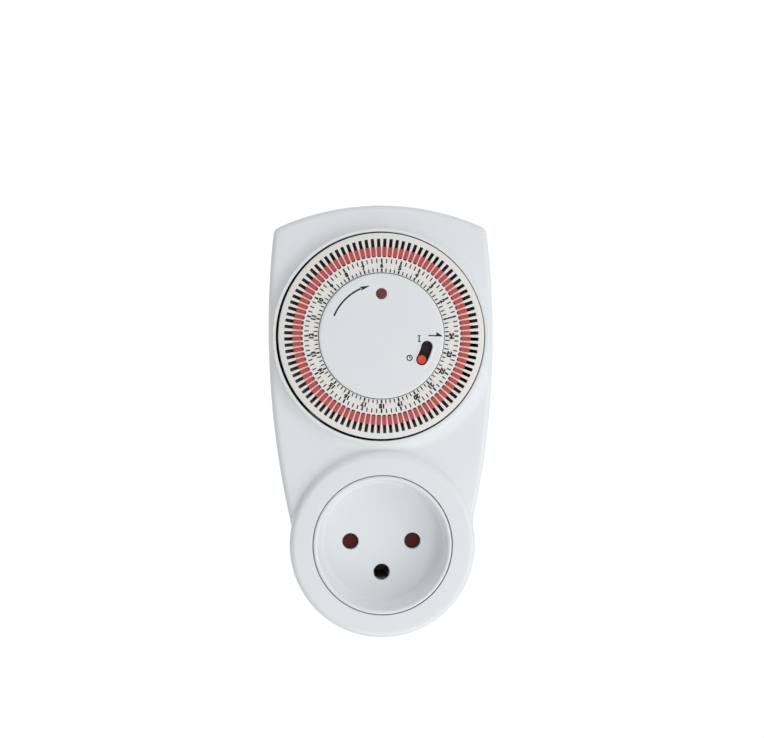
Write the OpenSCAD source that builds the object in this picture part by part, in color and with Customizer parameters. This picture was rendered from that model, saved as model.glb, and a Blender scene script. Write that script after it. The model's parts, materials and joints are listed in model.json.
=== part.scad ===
// Plug-in timer switch: a 24-hour dial with 96 tappets, a through socket and a plug at the back.
// Everything is drawn lying on its back: x to the right, y up the casing, z off the wall.
// stand() then turns it upright, so the front faces -Y. The origin is the centre between the
// live and neutral pins, on the face that meets the wall. Millimetres throughout.

/* [Casing] */
// Width over the flanks
body_w = 67.7; // [66:0.1:74]
// Crown above the socket axis
body_top = 102.1; // [100:0.1:110]
// Radius of the bowed flanks
flank_r = 265; // [230:1:320]
// Radius of the bowed crown
crown_r = 75.7; // [70:0.1:110]
// Radius of the round foot around the socket
foot_r = 27.9; // [26.5:0.1:29]
// Height of the casing's back off the wall
back_h = 8; // [6.5:0.1:12]
// Depth of the rear casing, from its back to the parting line
rear_depth = 12; // [9:0.1:14]
// Height of the casing's face off the wall
face_h = 39.6; // [39.1:0.1:41.1]
// How far the socket boss and the dial collar stand off the casing's face
boss_rise = 2.4; // [2:0.1:3]
// Radius of the hollow between the dial collar and the casing's face
cove_r = 4; // [3.5:0.1:6]
// Thickness of the casing walls
wall = 2; // [1.6:0.1:2.4]
// Radius of the casing's outer edges
edge_r = 1.8; // [1:0.1:2.4]

/* [Dial] */
// Height of the dial's axis above the socket axis
dial_y = 62.7; // [61.5:0.1:64.5]
// Gap between the dial ring and the outside of the flank beside it
dial_margin = 3.05; // [2.9:0.05:3.6]
// Gap between the dial ring and the casing
dial_gap = 0.5; // [0.3:0.05:0.6]
// How far the dial stands off its collar
dial_rise = 0.5; // [0:0.1:1]
// Thickness of the dial ring
ring_t = 1.5; // [1:0.1:2]
// Thickness of the tappet carrier behind the ring
carrier_t = 2.6; // [2:0.1:3]
// Rim left on the dial ring outside the tappet slots
slot_margin = 1.7; // [1.6:0.05:2]
// Length of a tappet slot
slot_l = 5.5; // [5.2:0.1:5.8]
// Width of a tappet slot
slot_w = 1; // [0.9:0.01:1.04]
// Length of a tappet along its slot
tappet_l = 2.7; // [2:0.1:2.9]
// Width of a tappet's head, which lies over its slot
head_w = 1.22; // [1.14:0.01:1.28]
// How far a tappet's head stands off the dial
head_rise = 0.16; // [0.12:0.01:0.3]
// Thickness of a tappet's foot behind the carrier
foot_t = 1.4; // [1:0.1:1.6]
// Width of the scale between the centre disc and the tappet slots
scale_band = 4.85; // [4.7:0.05:5]
// How far the centre disc stands off the dial
disc_rise = 0.6; // [0.2:0.1:1]

/* [Override switch] */
// Radius of the knob
knob_r = 1.35; // [1.2:0.05:1.6]
// Angle of the knob in its automatic position, from three o'clock
knob_auto = -30.8; // [-36:0.1:-28]
// Angle that the knob travels to its always-on position
knob_travel = 17.5; // [12:0.1:20]
// Width of the slot that the knob runs in
knob_slot_w = 3.4; // [3.2:0.1:3.8]

/* [Indicator] */
// Radius of the lens
lens_r = 1.6; // [1.2:0.05:2]

/* [Socket and plug] */
// Distance between the live and neutral pins
pin_pitch = 19; // [18.8:0.1:19.2]
// Distance of the earth pin below the other two
earth_drop = 9.5; // [9.4:0.1:9.7]
// Radius of a plug pin
pin_r = 2.25; // [2:0.05:2.4]
// Length of a plug pin in front of the plug's face
pin_l = 19; // [18:0.1:20]
// Radius of a hole in the socket's floor
socket_hole_r = 2.5; // [2.45:0.05:2.7]
// Depth of the socket's dish
dish_depth = 10; // [9:0.1:11]
// Radius of the dish at its mouth
dish_mouth_r = 19.5; // [19:0.1:20]
// Radius of the dish at its floor
dish_floor_r = 18.5; // [18:0.1:19]
// Outer radius of the socket insert
insert_r = 20.8; // [20.4:0.1:21.2]
// Thickness of the socket's floor
floor_t = 2; // [1.6:0.1:2.4]
// Radius of the plug body at the back
plug_r = 18; // [17.4:0.1:19]
// Thickness of the plug's face
plug_face_t = 3; // [2.4:0.1:3.4]
// Thickness of the shutter
shutter_t = 1.8; // [1.4:0.1:2]
// Travel of the shutter
shutter_travel = 5.6; // [5.4:0.1:6]

/* [Movement] */
// Thickness of the movement plate
plate_t = 1.5; // [1.2:0.1:1.8]
// Thickness of the gear plate
gear_plate_t = 1.2; // [1:0.1:1.4]
// Thickness of a gear wheel
wheel_t = 1; // [0.8:0.1:1.1]
// Height from one gear wheel to the next
wheel_pitch = 1.5; // [1.4:0.05:1.6]
// Width of the dial's gear between its bearing and its pitch circle
gear_rim = 1.6; // [1.55:0.05:1.7]
// How much coarser the module of the last wheel is than that of the others
slow_step = 0.08; // [0.07:0.005:0.09]
// Radius of the arbors
arbor_r = 0.5; // [0.4:0.05:0.6]
// Gap between the motor can and the microswitch
motor_margin = 3; // [2.6:0.1:4]
// Air gap between the rotor's magnet and the claw poles
air_gap = 0.5; // [0.3:0.05:0.6]

/* [Fits] */
// Radial clearance of a shaft that turns in a hole
run_gap = 0.05; // [0.02:0.01:0.08]
// Clearance on each side of a sliding piece
slide_gap = 0.06; // [0.04:0.01:0.1]
// Clearance between pieces that only lie beside each other
loose_gap = 0.2; // [0.15:0.01:0.25]
// Backlash at the pitch circle of each gear
backlash = 0.08; // [0.06:0.01:0.12]

/* [Hidden] */
$fn = 64;
hours = 24;
slots_per_hour = 4;
slots = hours * slots_per_hour;
slot_pitch = 360 / slots;
// The 24 o'clock tick stands at three o'clock; slots lie halfway between the quarter-hour ticks.
first_slot = -0.4 + slot_pitch / 2;

// Every cut runs this far past the body that it cuts
over = 1;

// Casing heights
split_h = back_h + rear_depth;
front_h = face_h + boss_rise;
ceiling_h = face_h - wall;
floor_h = back_h + wall;
widest_y = dial_y + 1.3;
// The upper corners are eased by a wide arc that takes this much off them
corner_ease = 0.5;
ease_r = 62;
ease_turn = 47;
function crown_y(x) = body_top - crown_r + sqrt(crown_r * crown_r - x * x);
function flank_x(y) = body_w / 2 - flank_r + sqrt(flank_r * flank_r - (y - widest_y) * (y - widest_y));
corner_x = flank_x(crown_y(body_w / 2));
corner = [corner_x, crown_y(corner_x)];
tongue_l = 1.5;
collar_lip = 0.9;
// The collar's cove dips this far below the face, so that it meets the face at an angle
cove_dip = 0.15;
cove_run = sqrt(cove_r * cove_r - pow(cove_r - boss_rise - cove_dip, 2));

// Screws
screw_r = 1.3;
screw_head_r = 2.3;
screw_head_t = 1.6;
tower_r = 3.2;
post_r = 2.6;
screw_sink = 4.4;
screw_inset = 7.35;
screw_drop = 10.6;
screw_rise = 10.2;
screw_x = body_w / 2 - screw_inset;
screw_high = body_top - screw_drop;
screw_low = insert_r + screw_rise;
screw_spots = [[-screw_x, screw_high], [screw_x, screw_high], [-screw_x, screw_low], [screw_x, screw_low]];
screw_bite = 9;
screw_tip = 1;
recess_w = 0.6;
small_screw_r = 0.9;
small_head_r = 1.7;
small_head_t = 1;
ear_r = 2.6;
ear_turn = 49.86;

// Dial heights, from the front to the back
dial_h = front_h + dial_rise;
ring_back = dial_h - ring_t;
dial_r = body_w / 2 - dial_margin;
slot_out = dial_r - slot_margin;
slot_in = slot_out - slot_l;
disc_r = slot_in - scale_band;
// Radius of the bearing that the dial turns on
hub_r = disc_r - 1.15;
knob_inset = 3.7;
lens_inset = 5;
knob_orbit = hub_r - knob_inset;
lens_y = hub_r - lens_inset;
carrier_back = ring_back - carrier_t;
foot_back = carrier_back - foot_t;
dial_gear_t = 2;
dial_gear_h = foot_back - 1.6;
plate_h = dial_gear_h - 0.9;
plate_back = plate_h - plate_t;
opening_r = dial_r + dial_gap;
plate_r = opening_r - 0.1;
function polar(r, a) = [r * cos(a), r * sin(a)];
// The movement plate's ears, which its screws pass through
ear_spots = [for (a = [ear_turn, 180 - ear_turn, 180 + ear_turn, -ear_turn]) polar(plate_r + 2.15, a)];
carrier_r = dial_r - 0.9;
foot_w = 1.2;
tappet_in = slot_in + 0.3;
tappet_travel = slot_out - tappet_in - tappet_l - 0.1;
spigot_r = hub_r - 1.1;
disc_h = dial_h + disc_rise;
// An arc slot's round ends stand this far inside its long sides, so that no two arcs are tangent
slot_end_ease = 0.02;
disc_back = ring_back + 0.2;
// The knob stands on a plate behind the disc, and its tail reaches through the movement plate
knob_plate_t = 1.5;
knob_plate_h = disc_back - knob_plate_t - 0.1;
tail_l = 1.6;
tail_back = plate_back - tail_l;

// Gear train: the rotor's pinion drives wheel 1, and each wheel's pinion drives the next
pinion_z = 8;
wheel_z = [60, 60, 64, 64, 50];
dial_z = 128;
tooth_m = 2 * (hub_r + gear_rim) / dial_z;
slow_m = tooth_m + slow_step;
wheel_m = [tooth_m, tooth_m, tooth_m, tooth_m, slow_m];
tooth_add = 0.75;
tooth_ded = 1.05;
press_angle = 24;
function reach(z, m) = (z + pinion_z) * m / 2;
train_turns = [90, 60, -20, -70, -90];
clutch_turn = 150;
arbor_5 = polar(reach(dial_z, tooth_m), clutch_turn);
arbor_4 = arbor_5 + polar(reach(wheel_z[4], wheel_m[4]), train_turns[4]);
arbor_3 = arbor_4 + polar(reach(wheel_z[3], wheel_m[3]), train_turns[3]);
arbor_2 = arbor_3 + polar(reach(wheel_z[2], wheel_m[2]), train_turns[2]);
arbor_1 = arbor_2 + polar(reach(wheel_z[1], wheel_m[1]), train_turns[1]);
arbor_0 = arbor_1 + polar(reach(wheel_z[0], wheel_m[0]), train_turns[0]);
arbors = [arbor_0, arbor_1, arbor_2, arbor_3, arbor_4, arbor_5];
top_wheel_h = plate_back - 0.8 - wheel_t;
function wheel_h(k) = top_wheel_h - (len(wheel_z) - k) * wheel_pitch;
gear_plate_h = wheel_h(1) - 0.4;
gear_plate_back = gear_plate_h - gear_plate_t;
gear_plate_r = plate_r - 0.7;
pillar_r = 1.5;
pillar_spots = [polar(plate_r - 7.85, 43.3), polar(plate_r - 7.85, -43.3),
                polar(plate_r - 3.2, 109), polar(plate_r - 3.2, -75)];
clutch_hub_r = 1.9;
// Round windows that lighten a gear wheel
window_r = 1.7;
function window_orbit(k) = wheel_z[k - 1] * wheel_m[k - 1] / 4 + 0.8;

// Follower lever and microswitch, in a frame turned to the tappet that reads the time
lever_turn = -2.2;
lever_w = 2.4;
lever_t = 1.5;
lever_h = plate_h + 0.4;
lever_l = 13;
nose_r = 0.7;
nose_in = tappet_in + tappet_l + 0.7;
nose_out = slot_out + 0.4;
lever_x = nose_in - 2.1;
lever_end = 0.9;
pivot_r = 0.6;
lug_t = 1.2;
lever_room = 0.4;
switch_w = 5.8;
switch_l = 12.8;
switch_t = 6.5;
switch_wall = 0.8;
switch_y = -14;
plunger_r = 0.8;
plunger_y = -6;
plunger_head = 1.2;
plunger_l = 2.4;
plunger_room = 4;
opening_low = plunger_y - plunger_room;
opening_high = nose_r + 2 * lever_room;
terminal_y = [-12, -3.5];
terminal_l = 3;
terminal_w = 2;
terminal_t = 0.6;
// Heights inside the microswitch, from its back: the fixed contact, and the moving blade above it
fixed_h = 1.6;
blade_h = 2.6;
blade_t = 0.3;
stud_r = 0.8;
stud_t = 0.4;

// Motor
motor_r = lever_x - switch_w / 2 - motor_margin - arbor_0.x;
can_t = 0.8;
pole_w = 2.2;
flange_t = 0.8;
can_back = floor_h + 0.3;
shaft_r = 0.75;
coil_gap = 0.5;
coil_out = motor_r - can_t - coil_gap;
// The winding fills the outer half of the room between the shaft and the can
coil_in = (coil_out + shaft_r) / 2;
pole_in = coil_in - coil_gap - can_t;
magnet_r = pole_in - air_gap;
coil_back = can_back + can_t + coil_gap;
coil_l = gear_plate_back - coil_back - 1.5;
gear_plate_right = lever_x - switch_w / 2 - 1.8;

// Socket, from the front to the back
socket_floor_h = front_h - dish_depth;
socket_floor_back = socket_floor_h - floor_t;
shutter_h = socket_floor_back - 0.1 - shutter_t;
block_h = shutter_h - 0.1;
pin_tip_h = socket_floor_h - pin_l;
skirt_r = insert_r - 0.3;
block_r = skirt_r - 2.4;
insert_flange_r = insert_r + 2.2;
flange_h = front_h - wall;
plug_core_r = plug_r - wall;
pin_root_r = pin_r + 0.45;
pin_head_r = pin_r + 1.75;
pin_head_t = 2;
pin_head_h = plug_face_t + pin_head_t;
tulip_r = pin_r + 1.15;
tulip_bore_r = pin_r + 0.05;
tulip_slit = 0.8;
live_step = 4;
slit_foot = 2.4;
slit_reach = 4;
live_tulip_h = floor_h + live_step;
live_spot = [pin_pitch / 2, 0];
neutral_spot = [-pin_pitch / 2, 0];
earth_spot = [0, -earth_drop];
strap_t = 0.6;
strap_w = 4;
strap_in_h = floor_h + 2.4;
strap_reach = 10.8;
strap_turn_y = 24;
// The straps run up between the contact block and the towers of the casing's screws
strap_side_w = 2.8;
strap_x1 = screw_x - tower_r - 0.7;
strap_x0 = strap_x1 - strap_side_w;
strap_end = lever_x + 0.6;
shutter_w = 14;
guide_y = 10;
shutter_low = -17.6;
shutter_high = 6.5;
spring_r = 0.75;
spring_wire = 0.18;
spring_turns = 7;
spring_end_y = skirt_r - 2.1;

casing_white = [0.85, 0.88, 0.9];
dial_cream = [0.93, 0.89, 0.86];
tappet_red = [0.82, 0.25, 0.24];
coal = [0.07, 0.07, 0.08];
brass = [0.8, 0.66, 0.36];
steel = [0.7, 0.71, 0.73];
nylon = [0.93, 0.92, 0.88];

function two(n) = n < 10 ? str("0", n) : str(n);
function tappet_name(hour) = str("tappet_hour_", two(hour));

// ---- Helpers ----

module stand() rotate([90, 0, 0]) children();
module at_dial() translate([0, dial_y, 0]) children();
module at(p) translate([p.x, p.y, 0]) children();
module layer(low, high) translate([0, 0, low]) linear_extrude(high - low) children();
module rod(r, low, high) translate([0, 0, low]) cylinder(r = r, h = high - low);
module bar(x0, x1, y0, y1, z0, z1) translate([x0, y0, z0]) cube([x1 - x0, y1 - y0, z1 - z0]);
module ring_shape(ro, ri) difference() {
    circle(ro);
    circle(ri);
}
module pipe(ro, ri, low, high) layer(low, high) ring_shape(ro, ri);

// A disc with a rounded front edge
module coin(r, low, high, edge) translate([0, 0, low]) rotate_extrude() {
    square([r, high - low - edge]);
    square([r - edge, high - low]);
    translate([r - edge, high - low - edge]) circle(edge);
}

// The casing's outline as a rounded block: two flanks, a crown, eased corners and a round foot
// that may stand higher than the rest
module casing_block(inset, low, high, edge, foot_high = 0) {
    intersection() {
        translate([body_w / 2 - flank_r, widest_y, 0]) coin(flank_r - inset, low, high, edge);
        translate([flank_r - body_w / 2, widest_y, 0]) coin(flank_r - inset, low, high, edge);
        translate([0, body_top - crown_r, 0]) coin(crown_r - inset, low, high, edge);
        for (side = [-1, 1])
            translate([side * (corner.x - ease_r * cos(ease_turn)), corner.y - ease_r * sin(ease_turn), 0])
                coin(ease_r - corner_ease - inset, low, high, edge);
        bar(-body_w, body_w, 0, 2 * body_top, low - 1, high + 1);
    }
    coin(foot_r - inset, low, max(high, foot_high), edge);
}

// The same outline with sharp edges, above the socket's axis only
module casing_prism(inset, low, high) layer(low, high) intersection() {
    translate([body_w / 2 - flank_r, widest_y]) circle(flank_r - inset);
    translate([flank_r - body_w / 2, widest_y]) circle(flank_r - inset);
    translate([0, body_top - crown_r]) circle(crown_r - inset);
}

// The same block with its back edge rounded
module casing_block_back(inset, low, high, edge)
    translate([0, 0, low + high]) mirror([0, 0, 1]) casing_block(inset, low, high, edge);

// ---- Gears ----

function involute(a) = tan(a) * 180 / PI - a;
// Half of a tooth's angle at radius r
function tooth_half(z, m, r) =
    let (base = z * m / 2 * cos(press_angle))
    90 / z - backlash / (z * m) * 180 / PI
    + involute(press_angle) - involute(r > base ? acos(base / r) : 0);
function tooth_radii(z, m) = [z * m / 2 - tooth_ded * m, z * m / 2, z * m / 2 + tooth_add * m];
module gear_shape(z, m) {
    radii = tooth_radii(z, m);
    side = [for (r = radii) [r, tooth_half(z, m, r)]];
    polygon([for (i = [0:z - 1])
        for (p = concat([for (s = side) [s[0], -s[1]]], [for (k = [2:-1:0]) [side[k][0], side[k][1]]]))
            polar(p[0], 360 / z * i + p[1])]);
}
// A gear whose tooth points along the angle aim
module gear_tooth_at(z, m, aim) rotate(aim) gear_shape(z, m);
module gear_gap_at(z, m, aim) rotate(aim + 180 / z) gear_shape(z, m);
function aim_to_next(k) = k < 5 ? train_turns[k] + 180 : clutch_turn + 180;

// Wheel k with its pinion and arbor
module gear_wheel(k) color(nylon) stand() at_dial() at(arbors[k]) {
    h = wheel_h(k);
    difference() {
        layer(h, h + wheel_t) gear_gap_at(wheel_z[k - 1], wheel_m[k - 1], train_turns[k - 1]);
        for (a = [45:90:315]) rotate(a) translate([window_orbit(k), 0, 0])
            rod(window_r, h - over, h + wheel_t + over);
    }
    rod(arbor_r, gear_plate_back + loose_gap, k == 5 ? dial_gear_h + dial_gear_t : plate_h - loose_gap);
    if (k < 5) layer(h + wheel_t, wheel_h(k + 1) + wheel_t)
        gear_tooth_at(pinion_z, wheel_m[k], aim_to_next(k));
}

module rotor() color([0.25, 0.25, 0.27]) stand() at_dial() at(arbor_0) {
    rod(shaft_r, can_back, wheel_h(1) + wheel_t);
    rod(magnet_r, coil_back + 0.4, coil_back + coil_l - 0.4);
    layer(wheel_h(1) - 0.2, wheel_h(1) + wheel_t) gear_tooth_at(pinion_z, tooth_m, aim_to_next(0));
}

module clutch_pinion() color(nylon) stand() at_dial() at(arbor_5) difference() {
    union() {
        layer(dial_gear_h, dial_gear_h + dial_gear_t - 0.1)
            gear_tooth_at(pinion_z, tooth_m, aim_to_next(5));
        rod(clutch_hub_r, wheel_h(5) + wheel_t + 0.1, dial_gear_h);
    }
    rod(arbor_r + run_gap, wheel_h(5), dial_h);
}

// ---- Dial ----

module slot_shapes(outer) for (i = [0:slots - 1])
    rotate(first_slot + i * slot_pitch)
        translate([slot_in, -slot_w / 2]) square([outer - slot_in, slot_w]);

module dial_ring() color(dial_cream) stand() at_dial() {
    layer(ring_back, dial_h) difference() {
        circle(dial_r);
        circle(disc_r + loose_gap);
        slot_shapes(slot_out);
    }
    pipe(dial_r, carrier_r + run_gap, carrier_back, ring_back);
}

module dial_carrier() color(coal) stand() at_dial() {
    layer(carrier_back, ring_back) difference() {
        circle(carrier_r);
        circle(hub_r + run_gap);
        slot_shapes(slot_out + 0.1);
    }
    pipe(hub_r + 1, hub_r + run_gap, dial_gear_h + dial_gear_t, carrier_back);
    layer(dial_gear_h, dial_gear_h + dial_gear_t) difference() {
        gear_gap_at(dial_z, tooth_m, clutch_turn);
        circle(hub_r + run_gap);
    }
}

// One tappet: a blade in the slot, a wider head over it and a wider foot behind the carrier
module tappet(slot) rotate(first_slot + slot * slot_pitch) {
    blade_w = slot_w - 2 * slide_gap;
    head_back = dial_h + run_gap;
    bar(tappet_in, tappet_in + tappet_l, -blade_w / 2, blade_w / 2, carrier_back, head_back);
    bar(tappet_in, tappet_in + tappet_l, -head_w / 2, head_w / 2, head_back, dial_h + head_rise);
    bar(tappet_in, tappet_in + tappet_l, -foot_w / 2, foot_w / 2, foot_back, carrier_back);
}
module quarter_tappets() color(tappet_red) stand() at_dial()
    for (slot = [0:slots - 1]) if (slot % slots_per_hour != 0) tappet(slot);
module hour_tappet(hour) color(tappet_red) stand() at_dial() tappet(hour * slots_per_hour);

// ---- Centre of the dial ----

// An arc slot around the dial's axis, from angle a0 to a1
module arc_slot(orbit, w, a0, a1) {
    intersection() {
        ring_shape(orbit + w / 2, orbit - w / 2);
        polygon([[0, 0], polar(2 * orbit, a0), polar(2 * orbit, a1)]);
    }
    for (a = [a0, a1]) rotate(a) translate([orbit, 0]) circle(w / 2 - slot_end_ease);
}

module centre_disc() color(casing_white) stand() at_dial() {
    difference() {
        coin(disc_r, disc_back, disc_h, 0.6);
        layer(disc_back - over, disc_h + over)
            arc_slot(knob_orbit, knob_slot_w, knob_auto, knob_auto + knob_travel);
        translate([0, lens_y, 0]) rod(lens_r + loose_gap / 4, disc_back - over, disc_h + over);
    }
    pipe(spigot_r, spigot_r - 0.7, plate_h, disc_back + 0.2);
}

module indicator_lens() color([0.75, 0.1, 0.12]) stand() at_dial() translate([0, lens_y, 0]) {
    coin(lens_r, disc_back, disc_h + 0.15, 0.6);
    rod(lens_r + 0.7, disc_back - 0.8, disc_back);
}

module indicator_lamp() color([0.95, 0.6, 0.35]) stand() at_dial() translate([0, lens_y, 0]) {
    rod(lens_r - 0.2, plate_h + 1.2, disc_back - 1.2);
    for (x = [-0.6, 0.6]) translate([x, 0, 0]) rod(0.25, plate_h, plate_h + 1.2);
}

module override_knob() color([0.93, 0.3, 0.16]) stand() at_dial() rotate(knob_auto) {
    translate([knob_orbit, 0, 0]) {
        coin(knob_r, knob_plate_h, disc_h - 0.3, 0.4);
        rod(knob_r, tail_back, knob_plate_h);
    }
    layer(knob_plate_h, knob_plate_h + knob_plate_t) intersection() {
        ring_shape(spigot_r - 1.1, knob_orbit - knob_slot_w / 2 - 0.6);
        polygon([[0, 0], polar(40, -9 - knob_travel), polar(40, 9 + knob_travel)]);
    }
}

// ---- Movement ----

module in_lever_frame() rotate(lever_turn) children();

module movement_plate() color(nylon) stand() at_dial() {
    difference() {
        union() {
            layer(plate_back, plate_h) circle(plate_r);
            for (p = ear_spots) at(p) rod(ear_r, plate_back, plate_h);
            for (p = ear_spots) at(p * 0.9) rod(ear_r, plate_back, plate_h);
        }
        for (k = [1:4]) at(arbors[k]) rod(arbor_r + run_gap, plate_back - over, plate_h + over);
        at(arbor_5) rod(clutch_hub_r + loose_gap, plate_back - over, plate_h + over);
        layer(plate_back - over, plate_h + over)
            arc_slot(knob_orbit, 2 * knob_r + 2 * loose_gap, knob_auto, knob_auto + knob_travel);
        // opening for the lever's nose and the plunger
        in_lever_frame() bar(lever_x - lever_w / 2 - lever_room, nose_out + lever_room,
            opening_low, opening_high, plate_back - over, plate_h + over);
        for (p = ear_spots) at(p) rod(small_screw_r + loose_gap, plate_back - over, plate_h + over);
    }
    pipe(hub_r, spigot_r, plate_h, ring_back);
    for (p = pillar_spots) at(p) {
        rod(pillar_r, gear_plate_h, plate_back);
        rod(pillar_r / 2, gear_plate_back, gear_plate_h);
    }
    in_lever_frame() {
        for (side = [-1, 1]) {
            x = lever_x + side * (lever_w / 2 + loose_gap + lug_t / 2);
            difference() {
                bar(x - lug_t / 2, x + lug_t / 2, -lever_l - lever_end, -lever_l + lever_end,
                    plate_back + 0.1, lever_h + lever_t + 0.2);
                translate([x, -lever_l, lever_h + lever_t / 2]) rotate([0, 90, 0])
                    cylinder(r = pivot_r + run_gap, h = 2 * lug_t, center = true);
            }
        }
        for (y = [switch_y - 1, switch_y + switch_l + 0.1])
            bar(lever_x - 2, lever_x + 2, y, y + 0.9, plate_back - switch_t + 1, plate_back);
    }
}

module gear_plate() color(steel) stand() at_dial() difference() {
    layer(gear_plate_back, gear_plate_h) difference() {
        circle(gear_plate_r);
        translate([gear_plate_right, -gear_plate_r]) square(2 * gear_plate_r);
    }
    for (k = [1:5]) at(arbors[k]) rod(arbor_r + run_gap, gear_plate_back - over, gear_plate_h + over);
    at(arbor_0) rod(shaft_r + run_gap, gear_plate_back - over, gear_plate_h + over);
    for (p = pillar_spots) at(p) rod(pillar_r / 2, gear_plate_back - over, gear_plate_h + over);
}

module follower_lever() color(coal) stand() at_dial() in_lever_frame() {
    bar(lever_x - lever_w / 2, lever_x + lever_w / 2, -lever_l - lever_end, nose_r,
        lever_h, lever_h + lever_t);
    bar(lever_x, nose_out, -nose_r, nose_r, lever_h, foot_back);
    translate([nose_in, 0, foot_back]) rotate([0, 90, 0]) cylinder(r = nose_r, h = nose_out - nose_in);
    translate([lever_x, -lever_l, lever_h + lever_t / 2]) rotate([0, 90, 0])
        cylinder(r = pivot_r, h = lever_w + 2 * loose_gap + 2 * lug_t, center = true);
}

module microswitch_body() color([0.12, 0.13, 0.16]) stand() at_dial() in_lever_frame() difference() {
    low = plate_back - switch_t;
    bar(lever_x - switch_w / 2, lever_x + switch_w / 2, switch_y, switch_y + switch_l, low, plate_back);
    bar(lever_x - switch_w / 2 + switch_wall, lever_x + switch_w / 2 - switch_wall,
        switch_y + switch_wall, switch_y + switch_l - switch_wall,
        low + switch_wall, plate_back - switch_wall);
    translate([lever_x, plunger_y, 0]) rod(plunger_r + run_gap, low + over, plate_back + over);
    for (y = terminal_y) bar(lever_x - terminal_w / 2 - run_gap, lever_x + terminal_w / 2 + run_gap,
        y - terminal_t / 2 - run_gap, y + terminal_t / 2 + run_gap, low - over, low + over);
}

module microswitch_plunger() color([0.8, 0.2, 0.2]) stand() at_dial() in_lever_frame()
    translate([lever_x, plunger_y, 0]) {
        coin(plunger_r, plate_back - plunger_l, lever_h - 0.02, 0.3);
        rod(plunger_head, plate_back - plunger_l, plate_back - switch_wall - 0.1);
    }

module microswitch_contacts() color(brass) stand() at_dial() in_lever_frame() {
    low = plate_back - switch_t;
    x0 = lever_x - terminal_w / 2;
    x1 = lever_x + terminal_w / 2;
    half = terminal_t / 2;
    for (y = terminal_y) bar(x0, x1, y - half, y + half, low - terminal_l, low + fixed_h);
    // moving blade on the rear terminal, and the fixed contact under its free end
    bar(x0, x1, terminal_y[0] - half, terminal_y[1] + stud_r, low + blade_h, low + blade_h + blade_t);
    bar(x0, x1, terminal_y[0] - half, terminal_y[0] + half, low + fixed_h, low + blade_h);
    translate([lever_x, terminal_y[1], 0]) rod(stud_r, low + fixed_h, low + fixed_h + stud_t);
    translate([lever_x, terminal_y[1], 0]) rod(stud_r, low + blade_h - stud_t, low + blade_h);
}

module motor_can() color(steel) stand() at_dial() at(arbor_0) {
    difference() {
        rod(motor_r, can_back, gear_plate_back);
        rod(motor_r - can_t, can_back + can_t, gear_plate_back + over);
        rod(shaft_r + run_gap, can_back - over, gear_plate_back);
    }
    for (i = [0:11]) rotate(i * 30)
        bar(pole_in, pole_in + can_t, -pole_w / 2, pole_w / 2, can_back + can_t, coil_back + coil_l - 0.5);
}

module motor_coil() color([0.72, 0.42, 0.2]) stand() at_dial() at(arbor_0) {
    pipe(coil_out, coil_in, coil_back, coil_back + flange_t);
    pipe(coil_out - 1, coil_in, coil_back + flange_t, coil_back + coil_l - flange_t);
    pipe(coil_out, coil_in, coil_back + coil_l - flange_t, coil_back + coil_l);
}

// ---- Socket ----

module socket_insert() color(casing_white) stand() {
    difference() {
        union() {
            rod(insert_r, flange_h - 1.5, front_h);
            rod(insert_flange_r, flange_h - 1.5, flange_h);
            rod(skirt_r, shutter_h - 1.6, flange_h - 1.5);
        }
        translate([0, 0, socket_floor_h])
            cylinder(r1 = dish_floor_r, r2 = dish_mouth_r, h = dish_depth);
        rod(block_r + 0.3, shutter_h - 2, socket_floor_back);
        for (p = [live_spot, neutral_spot, earth_spot])
            at(p) rod(socket_hole_r, socket_floor_back - over, socket_floor_h + over);
    }
    for (side = [-1, 1]) intersection() {
        bar(side > 0 ? shutter_w + slide_gap : -block_r - over,
            side > 0 ? block_r + over : -shutter_w - slide_gap,
            -guide_y, guide_y, shutter_h, socket_floor_back);
        rod(block_r + 0.3, shutter_h, socket_floor_back);
    }
}

// Covers the live and neutral holes at rest; its own holes wait shutter_travel below them
module socket_shutter() color([0.33, 0.1, 0.09]) stand() difference() {
    intersection() {
        bar(-shutter_w, shutter_w, shutter_low, shutter_high, shutter_h, shutter_h + shutter_t);
        rod(block_r - 0.2, shutter_h, shutter_h + shutter_t);
        translate([0, -shutter_travel, 0]) rod(block_r, shutter_h, shutter_h + shutter_t);
    }
    for (p = [live_spot, neutral_spot]) at(p) translate([0, -shutter_travel, 0]) {
        rod(socket_hole_r + 0.15, shutter_h - over, shutter_h + shutter_t + over);
        // ramp that the pin rides on to push the shutter up
        translate([-socket_hole_r, 0, shutter_h]) rotate([45, 0, 0])
            cube([2 * socket_hole_r, 2 * shutter_t, 2 * shutter_t]);
    }
    bar(-socket_hole_r - 0.3, socket_hole_r + 0.3,
        -earth_drop - socket_hole_r - shutter_travel - 0.4, -earth_drop + socket_hole_r + 0.3,
        shutter_h - over, shutter_h + shutter_t + over);
}

// A wire wound along a helix: rings of points joined into a tube
module coil_spring(r, wire, turns, length, steps = 10, sides = 5) {
    count = turns * steps;
    function centre(i) = [r * cos(360 * i / steps), length * i / count, r * sin(360 * i / steps)];
    function out(i) = [cos(360 * i / steps), 0, sin(360 * i / steps)];
    points = [for (i = [0:count]) for (j = [0:sides - 1])
        centre(i) + wire * (cos(360 * j / sides) * out(i) + sin(360 * j / sides) * [0, 1, 0])];
    faces = concat(
        [for (i = [0:count - 1]) for (j = [0:sides - 1])
            [i * sides + j, (i + 1) * sides + j, (i + 1) * sides + (j + 1) % sides]],
        [for (i = [0:count - 1]) for (j = [0:sides - 1])
            [i * sides + j, (i + 1) * sides + (j + 1) % sides, i * sides + (j + 1) % sides]],
        [[for (j = [0:sides - 1]) j], [for (j = [sides - 1:-1:0]) count * sides + j]]);
    polyhedron(points, faces);
}
module shutter_spring() color(steel) stand()
    translate([0, shutter_high + spring_wire + 0.02, shutter_h + shutter_t / 2])
        coil_spring(spring_r, spring_wire, spring_turns,
                    spring_end_y - shutter_high - 2 * spring_wire - 0.04);

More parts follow.
